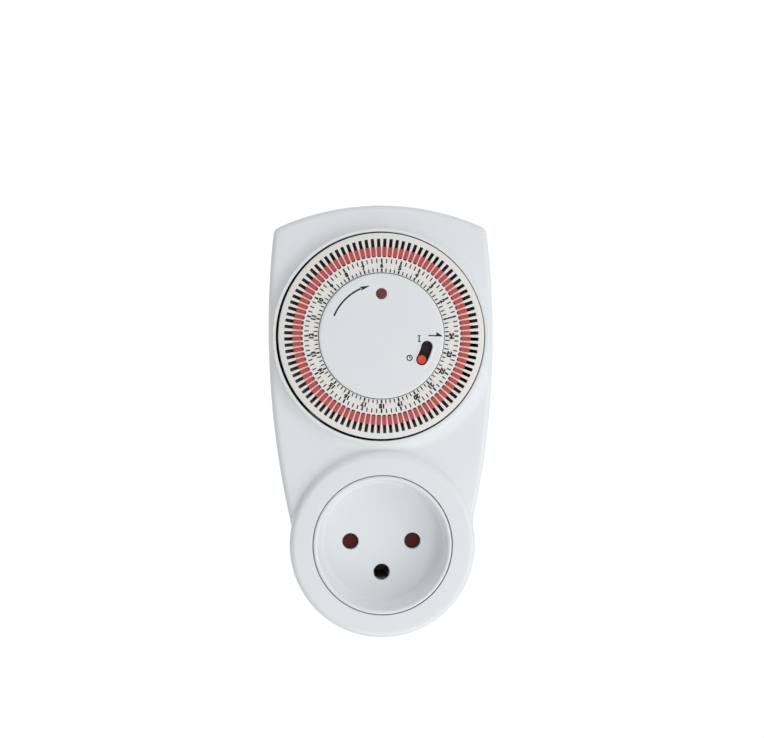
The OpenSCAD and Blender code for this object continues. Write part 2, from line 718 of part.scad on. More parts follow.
module contact_block() color(coal) stand() difference() {
    union() {
        rod(block_r, floor_h, block_h);
        rod(plug_core_r - 0.2, pin_head_h, floor_h);
    }
    for (p = [neutral_spot, earth_spot]) at(p) rod(tulip_r + run_gap, pin_head_h - over, block_h + over);
    at(live_spot) rod(tulip_r + run_gap, live_tulip_h, block_h + over);
    at(live_spot) rod(tulip_bore_r, pin_tip_h - 0.6, live_tulip_h + over);
    // ways for the two live straps
    at(live_spot) {
        rod(strap_w, pin_head_h - over, pin_head_h + strap_t + 0.1);
        half = strap_w / 2 + 0.2;
        rise = strap_reach - strap_t - 0.2;
        bar(-half, half, 0, strap_reach + 0.2, pin_head_h - over, pin_head_h + strap_t + 0.1);
        bar(-half, half, rise, strap_reach + 0.2, pin_head_h - over, strap_in_h + strap_t + 0.1);
        bar(-half, half, rise, block_r, strap_in_h - 0.1, strap_in_h + strap_t + 0.1);
        bar(0, block_r, -half, half, live_tulip_h - 0.1, live_tulip_h + strap_t + 0.1);
        bar(strap_x0 - live_spot.x - 0.2, block_r, -half, block_r,
            live_tulip_h - 0.1, live_tulip_h + strap_t + 0.1);
    }
}

// A slit tube that grips a plug pin; it is solid below bore_low
module tulip(low, bore_low) {
    slit_low = max(low + slit_foot, pin_tip_h + slit_reach);
    difference() {
        rod(tulip_r, low, block_h - 0.5);
        rod(tulip_bore_r, bore_low, block_h);
        for (a = [45, 135]) rotate(a)
            bar(-tulip_r - over, tulip_r + over, -tulip_slit / 2, tulip_slit / 2, slit_low, block_h);
    }
}
live_strap_h = live_tulip_h + strap_t;
module live_contact() color(brass) stand() at(live_spot) tulip(live_strap_h, live_strap_h - over);
module neutral_contact() color(brass) stand() at(neutral_spot) tulip(pin_head_h, pin_tip_h - 0.5);
module earth_contact() color(brass) stand() at(earth_spot) tulip(pin_head_h, pin_tip_h - 0.5);

module plug_pin() {
    translate([0, 0, -pin_l]) rotate_extrude() polygon([
        [0, 0], [pin_r - 0.7, 0], [pin_r, 0.7], [pin_r, pin_l], [0, pin_l]]);
    rod(pin_root_r, 0, plug_face_t);
    rod(pin_head_r, plug_face_t, pin_head_h);
}
module live_pin() color(brass) stand() at(live_spot) plug_pin();
module neutral_pin() color(brass) stand() at(neutral_spot) plug_pin();
module earth_pin() color(brass) stand() at(earth_spot) plug_pin();

module live_busbars() color(brass) stand() {
    feed = terminal_y[0] + dial_y;
    out = terminal_y[1] + dial_y;
    top = plate_back - switch_t - terminal_l;
    // from the live pin up to the switch
    half = strap_w / 2;
    at(live_spot) {
        rod(tulip_r, pin_head_h, pin_head_h + strap_t);
        bar(-half, half, 0, strap_reach, pin_head_h, pin_head_h + strap_t);
        bar(-half, half, strap_reach - strap_t, strap_reach, pin_head_h, strap_in_h + strap_t);
        bar(-half, half, strap_reach - strap_t, strap_turn_y, strap_in_h, strap_in_h + strap_t);
    }
    bar(live_spot.x, strap_x1, strap_turn_y - strap_w, strap_turn_y, strap_in_h, strap_in_h + strap_t);
    bar(strap_x0, strap_x1, strap_turn_y - strap_w, feed, strap_in_h, strap_in_h + strap_t);
    bar(strap_x0, strap_end, feed - 3, feed, strap_in_h, strap_in_h + strap_t);
    bar(strap_end - 2, strap_end, feed - strap_t, feed, strap_in_h, top);
    // from the switch back to the socket's live contact
    at(live_spot) difference() {
        union() {
            rod(tulip_r, live_tulip_h, live_tulip_h + strap_t);
            bar(0, strap_x1 - live_spot.x, -half, half, live_tulip_h, live_tulip_h + strap_t);
        }
        rod(tulip_bore_r, live_tulip_h - over, live_tulip_h + over);
    }
    bar(strap_x0, strap_x1, -half, out, live_tulip_h, live_tulip_h + strap_t);
    bar(strap_x0, strap_end, out - 3, out, live_tulip_h, live_tulip_h + strap_t);
    bar(strap_end - 2, strap_end, out - strap_t, out, live_tulip_h, top);
}

// ---- Casing ----

module front_casing() color(casing_white) stand() {
    difference() {
        union() {
            casing_block(0, split_h, face_h, edge_r, front_h);
            intersection() {
                at_dial() translate([0, 0, face_h - 1]) rotate_extrude() difference() {
                    square([opening_r + collar_lip + cove_run, boss_rise + 1]);
                    translate([opening_r + collar_lip + cove_run, cove_r + 1 - cove_dip]) circle(cove_r);
                }
                casing_prism(0.3, face_h - 2, front_h + 1);
            }
        }
        difference() {
            casing_block(wall, split_h - over, ceiling_h, 0.6, front_h - wall);
            for (p = screw_spots) at(p) rod(post_r, split_h - 2 * over, ceiling_h + over);
            at_dial() for (p = ear_spots) at(p) rod(ear_r - 0.3, plate_h, ceiling_h + over);
        }
        casing_block(wall / 2, split_h - over, split_h + tongue_l + 0.1, 0.1);
        at_dial() rod(opening_r, split_h, dial_h + over);
        rod(insert_r + 0.1, split_h, front_h + over);
        for (p = screw_spots) at(p) rod(screw_r + run_gap, split_h - over, split_h + screw_bite + over);
        at_dial() for (p = ear_spots) at(p) rod(small_screw_r + run_gap, plate_h - over, ceiling_h + 1.2);
    }
}

module rear_casing() color(casing_white) stand() difference() {
    union() {
        difference() {
            union() {
                casing_block_back(0, back_h, split_h, edge_r);
                casing_block(wall / 2 + 0.1, split_h - 1, split_h + tongue_l, 0.1);
                translate([0, 0, back_h]) mirror([0, 0, 1]) coin(plug_r, -1, back_h, 0.8);
            }
            casing_block(wall, floor_h, split_h + tongue_l + over, 0.6);
            rod(plug_core_r, plug_face_t, floor_h + over);
        }
        for (p = screw_spots) at(p) rod(tower_r, back_h + 1, split_h);
    }
    for (p = [live_spot, neutral_spot, earth_spot])
        at(p) rod(pin_root_r, -over, plug_face_t + over);
    for (p = screw_spots) at(p) {
        rod(screw_r + loose_gap, back_h, split_h + over);
        rod(screw_head_r + loose_gap, back_h - over, back_h + screw_sink + screw_head_t);
    }
}

module screw(head_low, head_r, head_t, shank_r, tip) {
    reach = head_r * 0.55;
    half = recess_w / 2;
    difference() {
        rod(head_r, head_low, head_low + head_t);
        for (a = [0, 90]) rotate(a)
            bar(-reach, reach, -half, half, head_low - over, head_low + head_t / 2);
    }
    rod(shank_r, head_low + head_t, tip - screw_tip);
    translate([0, 0, tip - screw_tip]) cylinder(r1 = shank_r, r2 = shank_r / 2, h = screw_tip);
}
module screws() color(steel) stand() {
    for (p = screw_spots) at(p)
        screw(back_h + screw_sink, screw_head_r, screw_head_t, screw_r, split_h + screw_bite);
    at_dial() for (p = ear_spots) at(p)
        screw(plate_back - small_head_t, small_head_r, small_head_t, small_screw_r, ceiling_h + 1);
}

front_casing();
rear_casing();
screws();
socket_insert();
socket_shutter();
shutter_spring();
contact_block();
live_contact();
neutral_contact();
earth_contact();
live_pin();
neutral_pin();
earth_pin();
live_busbars();
movement_plate();
gear_plate();
centre_disc();
indicator_lens();
indicator_lamp();
override_knob();
microswitch_body();
microswitch_plunger();
microswitch_contacts();
follower_lever();
motor_can();
motor_coil();
rotor();
for (k = [1:5]) gear_wheel(k);
clutch_pinion();
dial_ring();
dial_carrier();
quarter_tappets();
for (hour = [1:hours]) hour_tappet(hour);
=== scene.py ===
"""Dressed model of a plug-in timer switch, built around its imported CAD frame.

Shapes are drawn on the bench: x to the right, y up the casing, h off the wall, in millimetres.
stand() turns them upright into the row frame, in metres, where the front faces -Y.
"""

import json
import math

import bmesh
import bpy
import numpy as np
from mathutils import Matrix, Vector
from mathutils.geometry import delaunay_2d_cdt
from mathutils.kdtree import KDTree


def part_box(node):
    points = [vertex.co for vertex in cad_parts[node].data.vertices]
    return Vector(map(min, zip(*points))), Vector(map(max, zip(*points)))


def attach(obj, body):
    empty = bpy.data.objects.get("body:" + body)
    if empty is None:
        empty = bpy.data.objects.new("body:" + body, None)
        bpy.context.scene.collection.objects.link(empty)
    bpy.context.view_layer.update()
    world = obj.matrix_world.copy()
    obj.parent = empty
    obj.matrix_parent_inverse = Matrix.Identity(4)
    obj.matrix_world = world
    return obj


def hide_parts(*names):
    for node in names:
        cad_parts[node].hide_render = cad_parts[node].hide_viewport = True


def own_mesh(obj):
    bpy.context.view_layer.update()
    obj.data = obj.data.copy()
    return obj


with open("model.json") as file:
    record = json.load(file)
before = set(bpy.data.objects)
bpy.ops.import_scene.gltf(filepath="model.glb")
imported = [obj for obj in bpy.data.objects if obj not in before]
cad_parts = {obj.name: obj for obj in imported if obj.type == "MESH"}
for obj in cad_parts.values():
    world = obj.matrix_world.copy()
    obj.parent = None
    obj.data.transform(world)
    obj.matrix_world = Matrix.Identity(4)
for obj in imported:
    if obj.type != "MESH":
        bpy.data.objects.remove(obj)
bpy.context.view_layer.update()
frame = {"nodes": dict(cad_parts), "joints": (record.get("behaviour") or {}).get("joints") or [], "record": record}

MM = 0.001


# ---- Sizes read from the frame ----


def bench_box(node):
    """Lowest and highest corner of a CAD node on the bench: [x, y, h] in mm."""
    low, high = (np.array(corner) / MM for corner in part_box(node))
    return np.array([low[0], low[2], -high[1]]), np.array([high[0], high[2], -low[1]])


front_low, front_high = bench_box("front_casing")
ring_low, ring_high = bench_box("dial_ring")
disc_low, disc_high = bench_box("centre_disc")
lens_low, lens_high = bench_box("indicator_lens")
tappet_low, tappet_high = bench_box("tappet_hour_24")
spring_low, spring_high = bench_box("shutter_spring")
carrier_back = bench_box("dial_carrier")[0][2]
pin_end = bench_box("live_pin")[0][2]

half_w = front_high[0]
crown_top = front_high[1]
foot_r = -front_low[1]
front_h = front_high[2]
split_h = front_low[2]
dial_y = (ring_low[1] + ring_high[1]) / 2
dial_r = (ring_high[0] - ring_low[0]) / 2
dial_h = ring_high[2]
disc_r = (disc_high[0] - disc_low[0]) / 2
disc_h = disc_high[2]
travel = next(joint["range_m"][1] for joint in frame["joints"] if joint["name"] == "shutter_slide") / MM


# ---- Sizes of the casing ----

boss_rise = 2.4
face_h = front_h - boss_rise
wall = 2.0
ceiling_h = face_h - wall
back_h = 8.0
floor_h = back_h + wall
edge_r = 1.8
flank_r = 265.0
crown_r = 75.7
widest_y = dial_y + 1.3
corner_blend = 1.6
face_fillet = 1.8
boss_wall_slope = 4.0
outside_slope = 30
seam = 0.15

# The opening stands a little to the left of the dial's axis, as an assembled one does
opening = np.array([-0.25, dial_y - 0.12])
opening_r = dial_r + 0.56
collar_lip = 0.9
cove_r = 4.0
cove_run = math.sqrt(cove_r**2 - (cove_r - boss_rise) ** 2)
lip_round = 0.15

screw_spots = [(x, y) for x in (-26.5, 26.5) for y in (31.0, 91.5)]
well_r, well_depth, well_round = 2.5, 6, 0.3
tower_r, tower_gap = 3.2, 0.1
panel_x, panel_y = (-17.0, 17.0), (46.0, 72.0)
panel_depth, panel_ramp, panel_corner = 0.3, 0.42, 2.5

# Distances outside the dial's opening and outside the socket insert where the relief needs points
collar_steps = (
    0.3, 0.46, 0.56, 0.68, 0.8, 0.88, 0.95, 1.02, 1.12, 1.24, 1.38, 1.54, 1.75, 2.05, 2.5, 3.2, 4.2, 5.4, 6.6
)
boss_steps = (
    0.5, 1.5, 3.0, 4.6, 5.3, 5.6, 5.9, 6.2, 6.45, 6.7, 6.88, 7.0, 7.1, 7.2, 7.32, 7.46, 7.65, 7.95, 8.5, 9.5
)


# ---- Sizes of the socket and the plug ----

insert_r = 20.8
insert_rim = 0.6
flange_h = front_h - wall
seat_r = insert_r + 0.24
dish_depth = 10
dish_floor_h = front_h - dish_depth
dish_floor_back = dish_floor_h - 2
dish_mouth_r = 19.5
dish_mouth_round = 0.75
dish_floor_r = 18.5
dish_corner = 1.0
skirt_inner_r, skirt_outer_r, skirt_low = 18.4, insert_r - 0.3, 26.5
hole_r, hole_chamfer = 2.5, 0.25
pin_pitch = 19.0
earth_drop = 9.5
pin_spots = {"live": (pin_pitch / 2, 0), "neutral": (-pin_pitch / 2, 0), "earth": (0, -earth_drop)}
pin_r, pin_tip_round, pin_tip_flat = 2.25, 1.3, 0.6
pin_head_r, pin_head_h = pin_r + 1.75, (3.0, 5.0)
# Radius added and height along the fillet at a pin's root
pin_root = ((0, -0.25), (0.12, -0.1), (0.45, -0.02))
plug_r, plug_edge, plug_fillet = 18.0, 0.8, 1.2
spring_wire, spring_turns = 0.18, 7


# ---- Sizes of the dial ----

ring_t = 1.5
dial_edge, dial_bore_edge, bore_gap = 0.18, 0.12, 0.2
margin_slope = 0.13
slot_count = 96
slot_pitch = 3.75
first_slot = -0.4 + 1.875
slot_in, slot_out, slot_w = 23.6, 29.1, 1.0
slot_corner, slot_edge = 0.12, 0.09
tappet_in, tappet_l = 23.9, 2.7
tappet_half, tappet_corner = slot_w / 2 - 0.06, 0.1
head_half = 0.61
head_back = dial_h + 0.05
# Inset and drop along a head's eased edge
head_easing = ((0.0, 0.05), (0.02, 0.015), (0.07, 0.0))
foot_half, foot_top, foot_gap = 0.6, carrier_back + 3.0, 0.01
tappet_play = 0.05

print_t = 0.03
first_tick = first_slot - slot_pitch / 2
tick_rows = ((19.1, 20.1), (21.8, 23.05))
quarter_tick_w, hour_tick_w = 0.34, 0.5
number_r, number_size = 21.0, 1.5


# ---- Sizes of the centre disc ----

disc_back = dial_h - 1.3
disc_edge = 0.6
lens_y = lens_high[1] / 2 + lens_low[1] / 2 - dial_y
lens_r, lens_hole_r, lens_round, lens_crown = 1.6, 1.66, 0.3, 0.12
hole_round = 0.15
knob_orbit, knob_r, knob_round = 13.9, 1.35, 0.35
knob_from, knob_to = -30.8, -13.3
knob_slot_w = 3.4
slot_round, slot_lip, slot_lip_w = 0.12, 0.13, 0.3
slider_in, slider_out, slider_sweep = 11.5, 15.35, 26
knob_tail_h = 31.5


# ---- Points and meshes ----

# Stands for the axis in the profile of a turned body
axis_r = 0.001


def stand(points):
    """Bench points in mm as points of the row frame in metres."""
    p = np.asarray(points, float).reshape(-1, 3)
    return np.stack([p[:, 0], -p[:, 2], p[:, 1]], 1) * MM


def polar(r, degrees):
    a = np.radians(degrees)
    return np.stack([r * np.cos(a), r * np.sin(a)], -1)


def turned(points, degrees, centre=(0, 0)):
    """Flat points turned counter-clockwise about the origin, then moved to centre."""
    a = math.radians(degrees)
    spin = np.array([[math.cos(a), math.sin(a)], [-math.sin(a), math.cos(a)]])
    return np.asarray(points, float) @ spin + np.array(centre)


def circle_points(centre, r, count):
    return polar(r, np.arange(count) * 360 / count) + np.array(centre)


def rounded_block(x0, x1, y0, y1, r, steps=4):
    """Flat points round a rectangle with rounded corners."""
    corners = [(x1 - r, y1 - r, 0), (x0 + r, y1 - r, 90), (x0 + r, y0 + r, 180), (x1 - r, y0 + r, 270)]
    turn = np.linspace(0, 90, steps + 1)
    return np.concatenate([polar(r, a + turn) + np.array([x, y]) for x, y, a in corners])


def grid_points(x_span, y_span, step):
    """Flat points on a square grid. Each span is its first number and its end, which is left out."""
    return [(x, y) for x in np.arange(*x_span, step) for y in np.arange(*y_span, step)]


def spaced(points, taken, gap):
    """The points that keep their distance from those taken."""
    tree = KDTree(len(taken))
    for i, p in enumerate(taken):
        tree.insert((p[0], p[1], 0), i)
    tree.balance()
    return [p for p in points if tree.find((p[0], p[1], 0))[2] > gap]


def enclosed(ring, x, y):
    """Which of the points (x, y) lie within a closed loop."""
    within = np.zeros(len(x), bool)
    for (x0, y0), (x1, y1) in zip(ring, np.roll(ring, -1, 0)):
        if y0 != y1:
            within ^= ((y0 > y) != (y1 > y)) & (x < x0 + (y - y0) * (x1 - x0) / (y1 - y0))
    return within


def clear_of(spots, r):
    """A test for points that lie outside the circle of radius r round every spot."""
    return lambda x, y: np.all([np.hypot(x - sx, y - sy) > r for sx, sy in spots], 0)


def level(h):
    """A flat height."""
    return lambda x, y: np.full_like(x, h)


def smooth_max(a, b, k):
    """The larger of two heights, with a fillet of about k where they meet."""
    h = np.maximum(k - np.abs(a - b), 0) / k
    return np.maximum(a, b) + h * h * k / 4


def rounding(distance, r):
    """How far a rounded edge of radius r has dropped at a distance inside the edge."""
    inside = np.clip(r - distance, 0, r)
    return r - np.sqrt(np.maximum(r * r - inside * inside, 0))


def arc_steps(r, count=8):
    """Distances inside an edge of radius r at which its rounding is drawn."""
    return [r * (1 - math.cos(math.radians(90 * i / count))) for i in range(count + 1)]


def link(obj):
    bpy.context.scene.collection.objects.link(obj)
    return obj


def shaded(obj, sharp):
    """Smooth faces, with a hard edge where they meet at more than sharp degrees."""
    obj.data.shade_smooth()
    obj.data.set_sharp_from_angle(angle=math.radians(sharp))
    return obj


class Solid:
    """Collects points and faces of closed bodies on the bench."""

    def __init__(self):
        self.points = []
        self.faces = []

    def add(self, points):
        """Adds points and returns their numbers."""
        start = len(self.points)
        self.points.extend(np.asarray(points, float).reshape(-1, 3).tolist())
        return list(range(start, len(self.points)))

    def ring(self, xy, h):
        """Adds flat points at height h, which is one number or one for each point."""
        return self.add(np.column_stack([xy, np.broadcast_to(h, len(xy))]))

    def strip(self, lower, upper):
        """Quads between two closed rings of equally many points."""
        for i in range(len(lower)):
            self.faces.append([lower[i - 1], lower[i], upper[i], upper[i - 1]])

    def strips(self, rings):
        """Quads from each ring to the next."""
        for lower, upper in zip(rings, rings[1:]):
            self.strip(lower, upper)

    def cap(self, ring):
        self.faces.append(list(ring))

    def tube(self, rings):
        """A body through rings, closed at both ends."""
        self.strips(rings)
        self.cap(rings[0])
        self.cap(rings[-1])

    def stack(self, loops):
        """A closed body through rings of equally many points, each given as (flat points, height)."""
        self.tube([self.ring(xy, h) for xy, h in loops])

    def lathe(self, profile, centre=(0, 0), count=64):
        """A body turned from (r, h) points, which begin and end at axis_r."""
        self.tube([self.ring(circle_points(centre, r, count), h) for r, h in profile])

    def relief(self, rings, loose, height, inside):
        """Triangles within the first of rings, lifted to height(x, y). rings are closed loops that
        become edges, loose are further points, and inside(x, y) leaves out what lies in a hole.
        Returns the point numbers of each ring."""
        flat, edges, starts = [], [], []
        for ring in rings:
            start = len(flat)
            starts.append((start, len(ring)))
            flat.extend(map(tuple, ring))
            edges.extend((start + i, start + (i + 1) % len(ring)) for i in range(len(ring)))
        flat.extend(map(tuple, loose))
        out = delaunay_2d_cdt([Vector(p) for p in flat], edges, [], 0, 1e-7, True)
        xy = np.array([tuple(v) for v in out[0]])
        tris = np.array([tuple(f) for f in out[2]])
        middle = xy[tris].mean(1)
        tris = tris[enclosed(rings[0], *middle.T) & inside(*middle.T)]
        a, b, c = (xy[tris[:, i]] for i in range(3))
        turn = (b[:, 0] - a[:, 0]) * (c[:, 1] - a[:, 1]) - (b[:, 1] - a[:, 1]) * (c[:, 0] - a[:, 0])
        tris = tris[np.abs(turn) > 1e-9]
        ids = np.array(self.add(np.column_stack([xy, height(xy[:, 0], xy[:, 1])])))
        self.faces.extend(ids[t].tolist() for t in tris)
        place = {}
        for new, originals in enumerate(out[3]):
            for original in originals:
                place[original] = ids[new]
        return [[place[start + i] for i in range(n)] for start, n in starts]

    def object(self, name, sharp=35.0, centre=(0, 0)):
        """The finished object, moved to centre on the bench, with its faces turned outwards."""
        points = np.array(self.points) + np.array([centre[0], centre[1], 0])
        mesh = bpy.data.meshes.new(name)
        mesh.from_pydata(stand(points).tolist(), [], [list(map(int, f)) for f in self.faces])
        face_outwards(mesh)
        return shaded(link(bpy.data.objects.new(name, mesh)), sharp)


def face_outwards(mesh):
    """Turns a mesh's faces outwards and drops its loose points."""
    work = bmesh.new()
    work.from_mesh(mesh)
    bmesh.ops.delete(work, geom=[v for v in work.verts if not v.link_faces], context="VERTS")
    bmesh.ops.recalc_face_normals(work, faces=work.faces)
    work.to_mesh(mesh)
    work.free()


# ---- Node trees ----


class Value:
    """A socket in a node tree, with the arithmetic of its maths nodes."""

    def __init__(self, graph, socket):
        self.graph = graph
        self.socket = socket

    def maths(self, operation, *operands):
        return self.graph.node("ShaderNodeMath", {"operation": operation}, operands)

    def __add__(self, other):
        return self.maths("ADD", self, other)

    def __sub__(self, other):
        return self.maths("SUBTRACT", self, other)

    def __rsub__(self, other):
        return self.maths("SUBTRACT", other, self)

    def __mul__(self, other):
        return self.maths("MULTIPLY", self, other)

    __radd__ = __add__
    __rmul__ = __mul__


class Graph:
    """A node tree with one method for every kind of node."""

    def __init__(self, tree):
        self.tree = tree

    def node(self, kind, settings=None, sockets=(), output=0):
        """Adds a node, sets its settings, feeds its sockets by name or place, and returns one output."""
        node = self.tree.nodes.new(kind)
        for key, value in (settings or {}).items():
            setattr(node, key, value)
        for key, value in sockets.items() if isinstance(sockets, dict) else enumerate(sockets):
            if isinstance(value, Value):
                self.tree.links.new(value.socket, node.inputs[key])
            else:
                node.inputs[key].default_value = value
        return Value(self, node.outputs[output]) if node.outputs else None

    def noise(self, where, size_mm, detail, stretch=None):
        """Noise whose spots are about size_mm across."""
        if stretch:
            where = self.node("ShaderNodeVectorMath", {"operation": "MULTIPLY"}, [where, stretch])
        sockets = {"Vector": where, "Scale": 1 / (size_mm * MM), "Detail": detail}
        return self.node("ShaderNodeTexNoise", {}, sockets)

    def blend(self, factor, first, second):
        """Colours mixed by a factor."""
        sockets = {0: factor, 6: (*first, 1), 7: (*second, 1)}
        return self.node("ShaderNodeMix", {"data_type": "RGBA"}, sockets, output=2)


broad_detail, fine_detail = 4.0, 2.0
coat_roughness = 0.08
winding_wobble = 0.4


def finish(
    name, light, dark, rough, grain, spots, metallic=0.0, stretch=None, coat=0.0, ior=1.5, bands=None
):
    """A material: base colour between light and dark in broad spots, roughness from rough[0] to
    rough[1], and a fine grain raised on the surface. grain and bands are (size, height) in mm."""
    material = bpy.data.materials.new(name)
    material.use_nodes = True
    graph = Graph(material.node_tree)
    shader = material.node_tree.nodes["Principled BSDF"]
    where = graph.node("ShaderNodeTexCoord", output="Object")
    broad = graph.noise(where, spots, broad_detail, stretch)
    fine = graph.noise(where, grain[0], fine_detail, stretch)
    colour = graph.blend(broad, dark, light)
    sheen = rough[0] + (rough[1] - rough[0]) * (broad * 0.5 + fine * 0.5)
    height = fine * (grain[1] * MM)
    if bands:
        sockets = {"Vector": where, "Scale": 1 / (bands[0] * MM), "Distortion": winding_wobble}
        height = height + graph.node("ShaderNodeTexWave", {}, sockets) * (bands[1] * MM)
    bump = graph.node("ShaderNodeBump", {}, {"Strength": 1.0, "Distance": 1.0, "Height": height})
    for key, value in (("Base Color", colour), ("Roughness", sheen), ("Normal", bump)):
        graph.tree.links.new(value.socket, shader.inputs[key])
    fixed = {"Metallic": metallic, "Coat Weight": coat, "Coat Roughness": coat_roughness, "IOR": ior}
    for key, value in fixed.items():
        shader.inputs[key].default_value = value
    return material


finishes = {
    "casing_white": finish(
        "casing plastic", (0.86, 0.892, 0.908), (0.835, 0.87, 0.89), (0.30, 0.38), (0.35, 0.0006), 9.0
    ),
    "dial_cream": finish(
        "dial plastic", (0.89, 0.87, 0.845), (0.86, 0.84, 0.81), (0.50, 0.62), (0.22, 0.0012), 3.0
    ),
    "tappet_red": finish(
        "tappet plastic", (0.60, 0.087, 0.084), (0.47, 0.06, 0.059), (0.42, 0.55), (0.3, 0.001), 1.6
    ),
    "knob_orange": finish(
        "knob plastic", (0.79, 0.088, 0.055), (0.68, 0.058, 0.038), (0.28, 0.38), (0.3, 0.001), 1.2
    ),
    "lens_red": finish(
        "lens plastic", (0.19, 0.028, 0.036), (0.10, 0.014, 0.02), (0.10, 0.18), (0.5, 0.0004), 0.6, coat=0.6
    ),
    "lamp_glass": finish(
        "lamp glass", (0.95, 0.75, 0.55), (0.9, 0.62, 0.42), (0.05, 0.1), (0.5, 0.0003), 1.0
    ),
    "shutter_brown": finish(
        "shutter plastic", (0.12, 0.014, 0.016), (0.07, 0.009, 0.010), (0.35, 0.5), (0.3, 0.0015), 3.0,
        ior=1.3,
    ),
    "black_plastic": finish(
        "black plastic", (0.022, 0.012, 0.013), (0.014, 0.008, 0.009), (0.45, 0.6), (0.3, 0.0015), 3.0,
        ior=1.38,
    ),
    "nylon": finish("natural nylon", (0.80, 0.78, 0.71), (0.74, 0.715, 0.64), (0.4, 0.55), (0.3, 0.001), 4.0),
    "tarnished": finish(
        "tarnished spring brass", (0.44, 0.40, 0.36), (0.28, 0.25, 0.225), (0.4, 0.6), (0.2, 0.001), 2.0, 0.5
    ),
    "brass": finish(
        "brass strip", (0.80, 0.60, 0.26), (0.68, 0.47, 0.18), (0.22, 0.36), (0.12, 0.0008), 3.0,
        metallic=1.0, stretch=(1, 1, 0.08),
    ),
    "plated_brass": finish(
        "plated pins", (0.78, 0.77, 0.74), (0.68, 0.67, 0.645), (0.14, 0.3), (0.1, 0.0008), 4.0,
        metallic=1.0, stretch=(1, 0.08, 1),
    ),
    "steel": finish(
        "zinc-plated steel", (0.66, 0.67, 0.69), (0.52, 0.54, 0.58), (0.25, 0.42), (0.12, 0.0008), 1.5, 1.0
    ),
    "copper_winding": finish(
        "copper winding", (0.62, 0.26, 0.10), (0.45, 0.16, 0.06), (0.25, 0.4), (0.2, 0.002), 2.0,
        metallic=0.8, bands=(1.2, 0.03),
    ),
    "magnet_grey": finish("ferrite", (0.10, 0.10, 0.11), (0.06, 0.06, 0.068), (0.4, 0.6), (0.15, 0.004), 1.0),
}
ink = finish(
    "printing ink", (0.032, 0.032, 0.042), (0.016, 0.016, 0.022), (0.5, 0.7), (0.12, 0.001), 0.4, ior=1.3
)


def piece(obj, body, slot, *nodes, material=None):
    """Hangs a piece on its body, gives it its finish and hides the CAD nodes it stands for."""
    obj.data.materials.clear()
    obj.data.materials.append(material or finishes[slot])
    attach(obj, body)
    if nodes:
        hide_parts(*nodes)
    return obj


# ---- Rings of repeated things ----


def ring_tree():
    """Geometry nodes that repeat an object round the dial's axis."""
    tree = bpy.data.node_groups.new("ring of pieces", "GeometryNodeTree")
    tree.interface.new_socket("Geometry", in_out="OUTPUT", socket_type="NodeSocketGeometry")
    sockets = {}
    for name, kind in (
        ("Source", "Object"), ("Count", "Int"), ("Step", "Float"), ("Axis", "Vector"), ("Play", "Float"),
        ("Seed", "Int"), ("Merge", "Float"), ("Material", "Material"),
    ):
        made = tree.interface.new_socket(name, in_out="INPUT", socket_type=f"NodeSocket{kind}")
        sockets[name] = made.identifier
    graph = Graph(tree)
    given = {name: graph.node("NodeGroupInput", output=name) for name in sockets}
    line = {"Count": given["Count"], "Start Location": given["Axis"], "Offset": (0, 0, 0)}
    spots = graph.node("GeometryNodeMeshLine", {}, line)
    index = graph.node("GeometryNodeInputIndex")
    turn = graph.node("ShaderNodeCombineXYZ", {}, {"Y": 0.0 - index * given["Step"]})
    source = graph.node(
        "GeometryNodeObjectInfo", {"transform_space": "ORIGINAL"}, {"Object": given["Source"]}, "Geometry"
    )
    copies = {"Points": spots, "Instance": source, "Rotation": turn}
    ring = graph.node("GeometryNodeInstanceOnPoints", {}, copies)
    spread = {2: 0.0 - given["Play"], 3: given["Play"], "Seed": given["Seed"]}
    slip = graph.node("FunctionNodeRandomValue", {"data_type": "FLOAT"}, spread, 1)
    shift = {"Instances": ring, "Translation": graph.node("ShaderNodeCombineXYZ", {}, {"X": slip})}
    moved = graph.node("GeometryNodeTranslateInstances", {}, {**shift, "Local Space": True})
    real = graph.node("GeometryNodeRealizeInstances", {}, {"Geometry": moved})
    merged = graph.node("GeometryNodeMergeByDistance", {}, {"Geometry": real, "Distance": given["Merge"]})
    done = graph.node("GeometryNodeSetMaterial", {}, {"Geometry": merged, "Material": given["Material"]})
    graph.node("NodeGroupOutput", {}, {"Geometry": done})
    return tree, sockets


ring_nodes, ring_sockets = ring_tree()


def ring_of(name, source, count, material, play=0.0, seed=1, merge=0.0, sharp=35.0):
    """source, drawn round the bench's origin, repeated count times round the dial's axis."""
    holder = link(bpy.data.objects.new(name + "_holder", bpy.data.meshes.new(name + "_holder")))
    modifier = holder.modifiers.new("ring", "NODES")
    modifier.node_group = ring_nodes
    values = {
        "Source": source, "Count": count, "Step": 2 * math.pi / count, "Axis": (0, 0, dial_y * MM),
        "Play": play * MM, "Seed": seed, "Merge": merge * MM, "Material": material,
    }
    for key, value in values.items():
        modifier[ring_sockets[key]] = value
    bpy.context.view_layer.update()
    baked = bpy.data.meshes.new_from_object(holder.evaluated_get(bpy.context.evaluated_depsgraph_get()))
    holder.modifiers.clear()
    for used in (holder, source):
        bpy.data.objects.remove(used)
    baked.name = name
    return shaded(link(bpy.data.objects.new(name, baked)), sharp)


# ---- The casing's outline and relief ----


def block_distance(x, y):
    """Distance to the casing's outline above the socket, negative inside."""
    flank = np.hypot(np.abs(x) + flank_r - half_w, y - widest_y) - flank_r
    crown = np.hypot(x, y - crown_top + crown_r) - crown_r
    side = smooth_max(flank, crown, corner_blend)
    return np.maximum(side, -y)


def outline_distance(x, y):
    return np.minimum(block_distance(x, y), np.hypot(x, y) - foot_r)


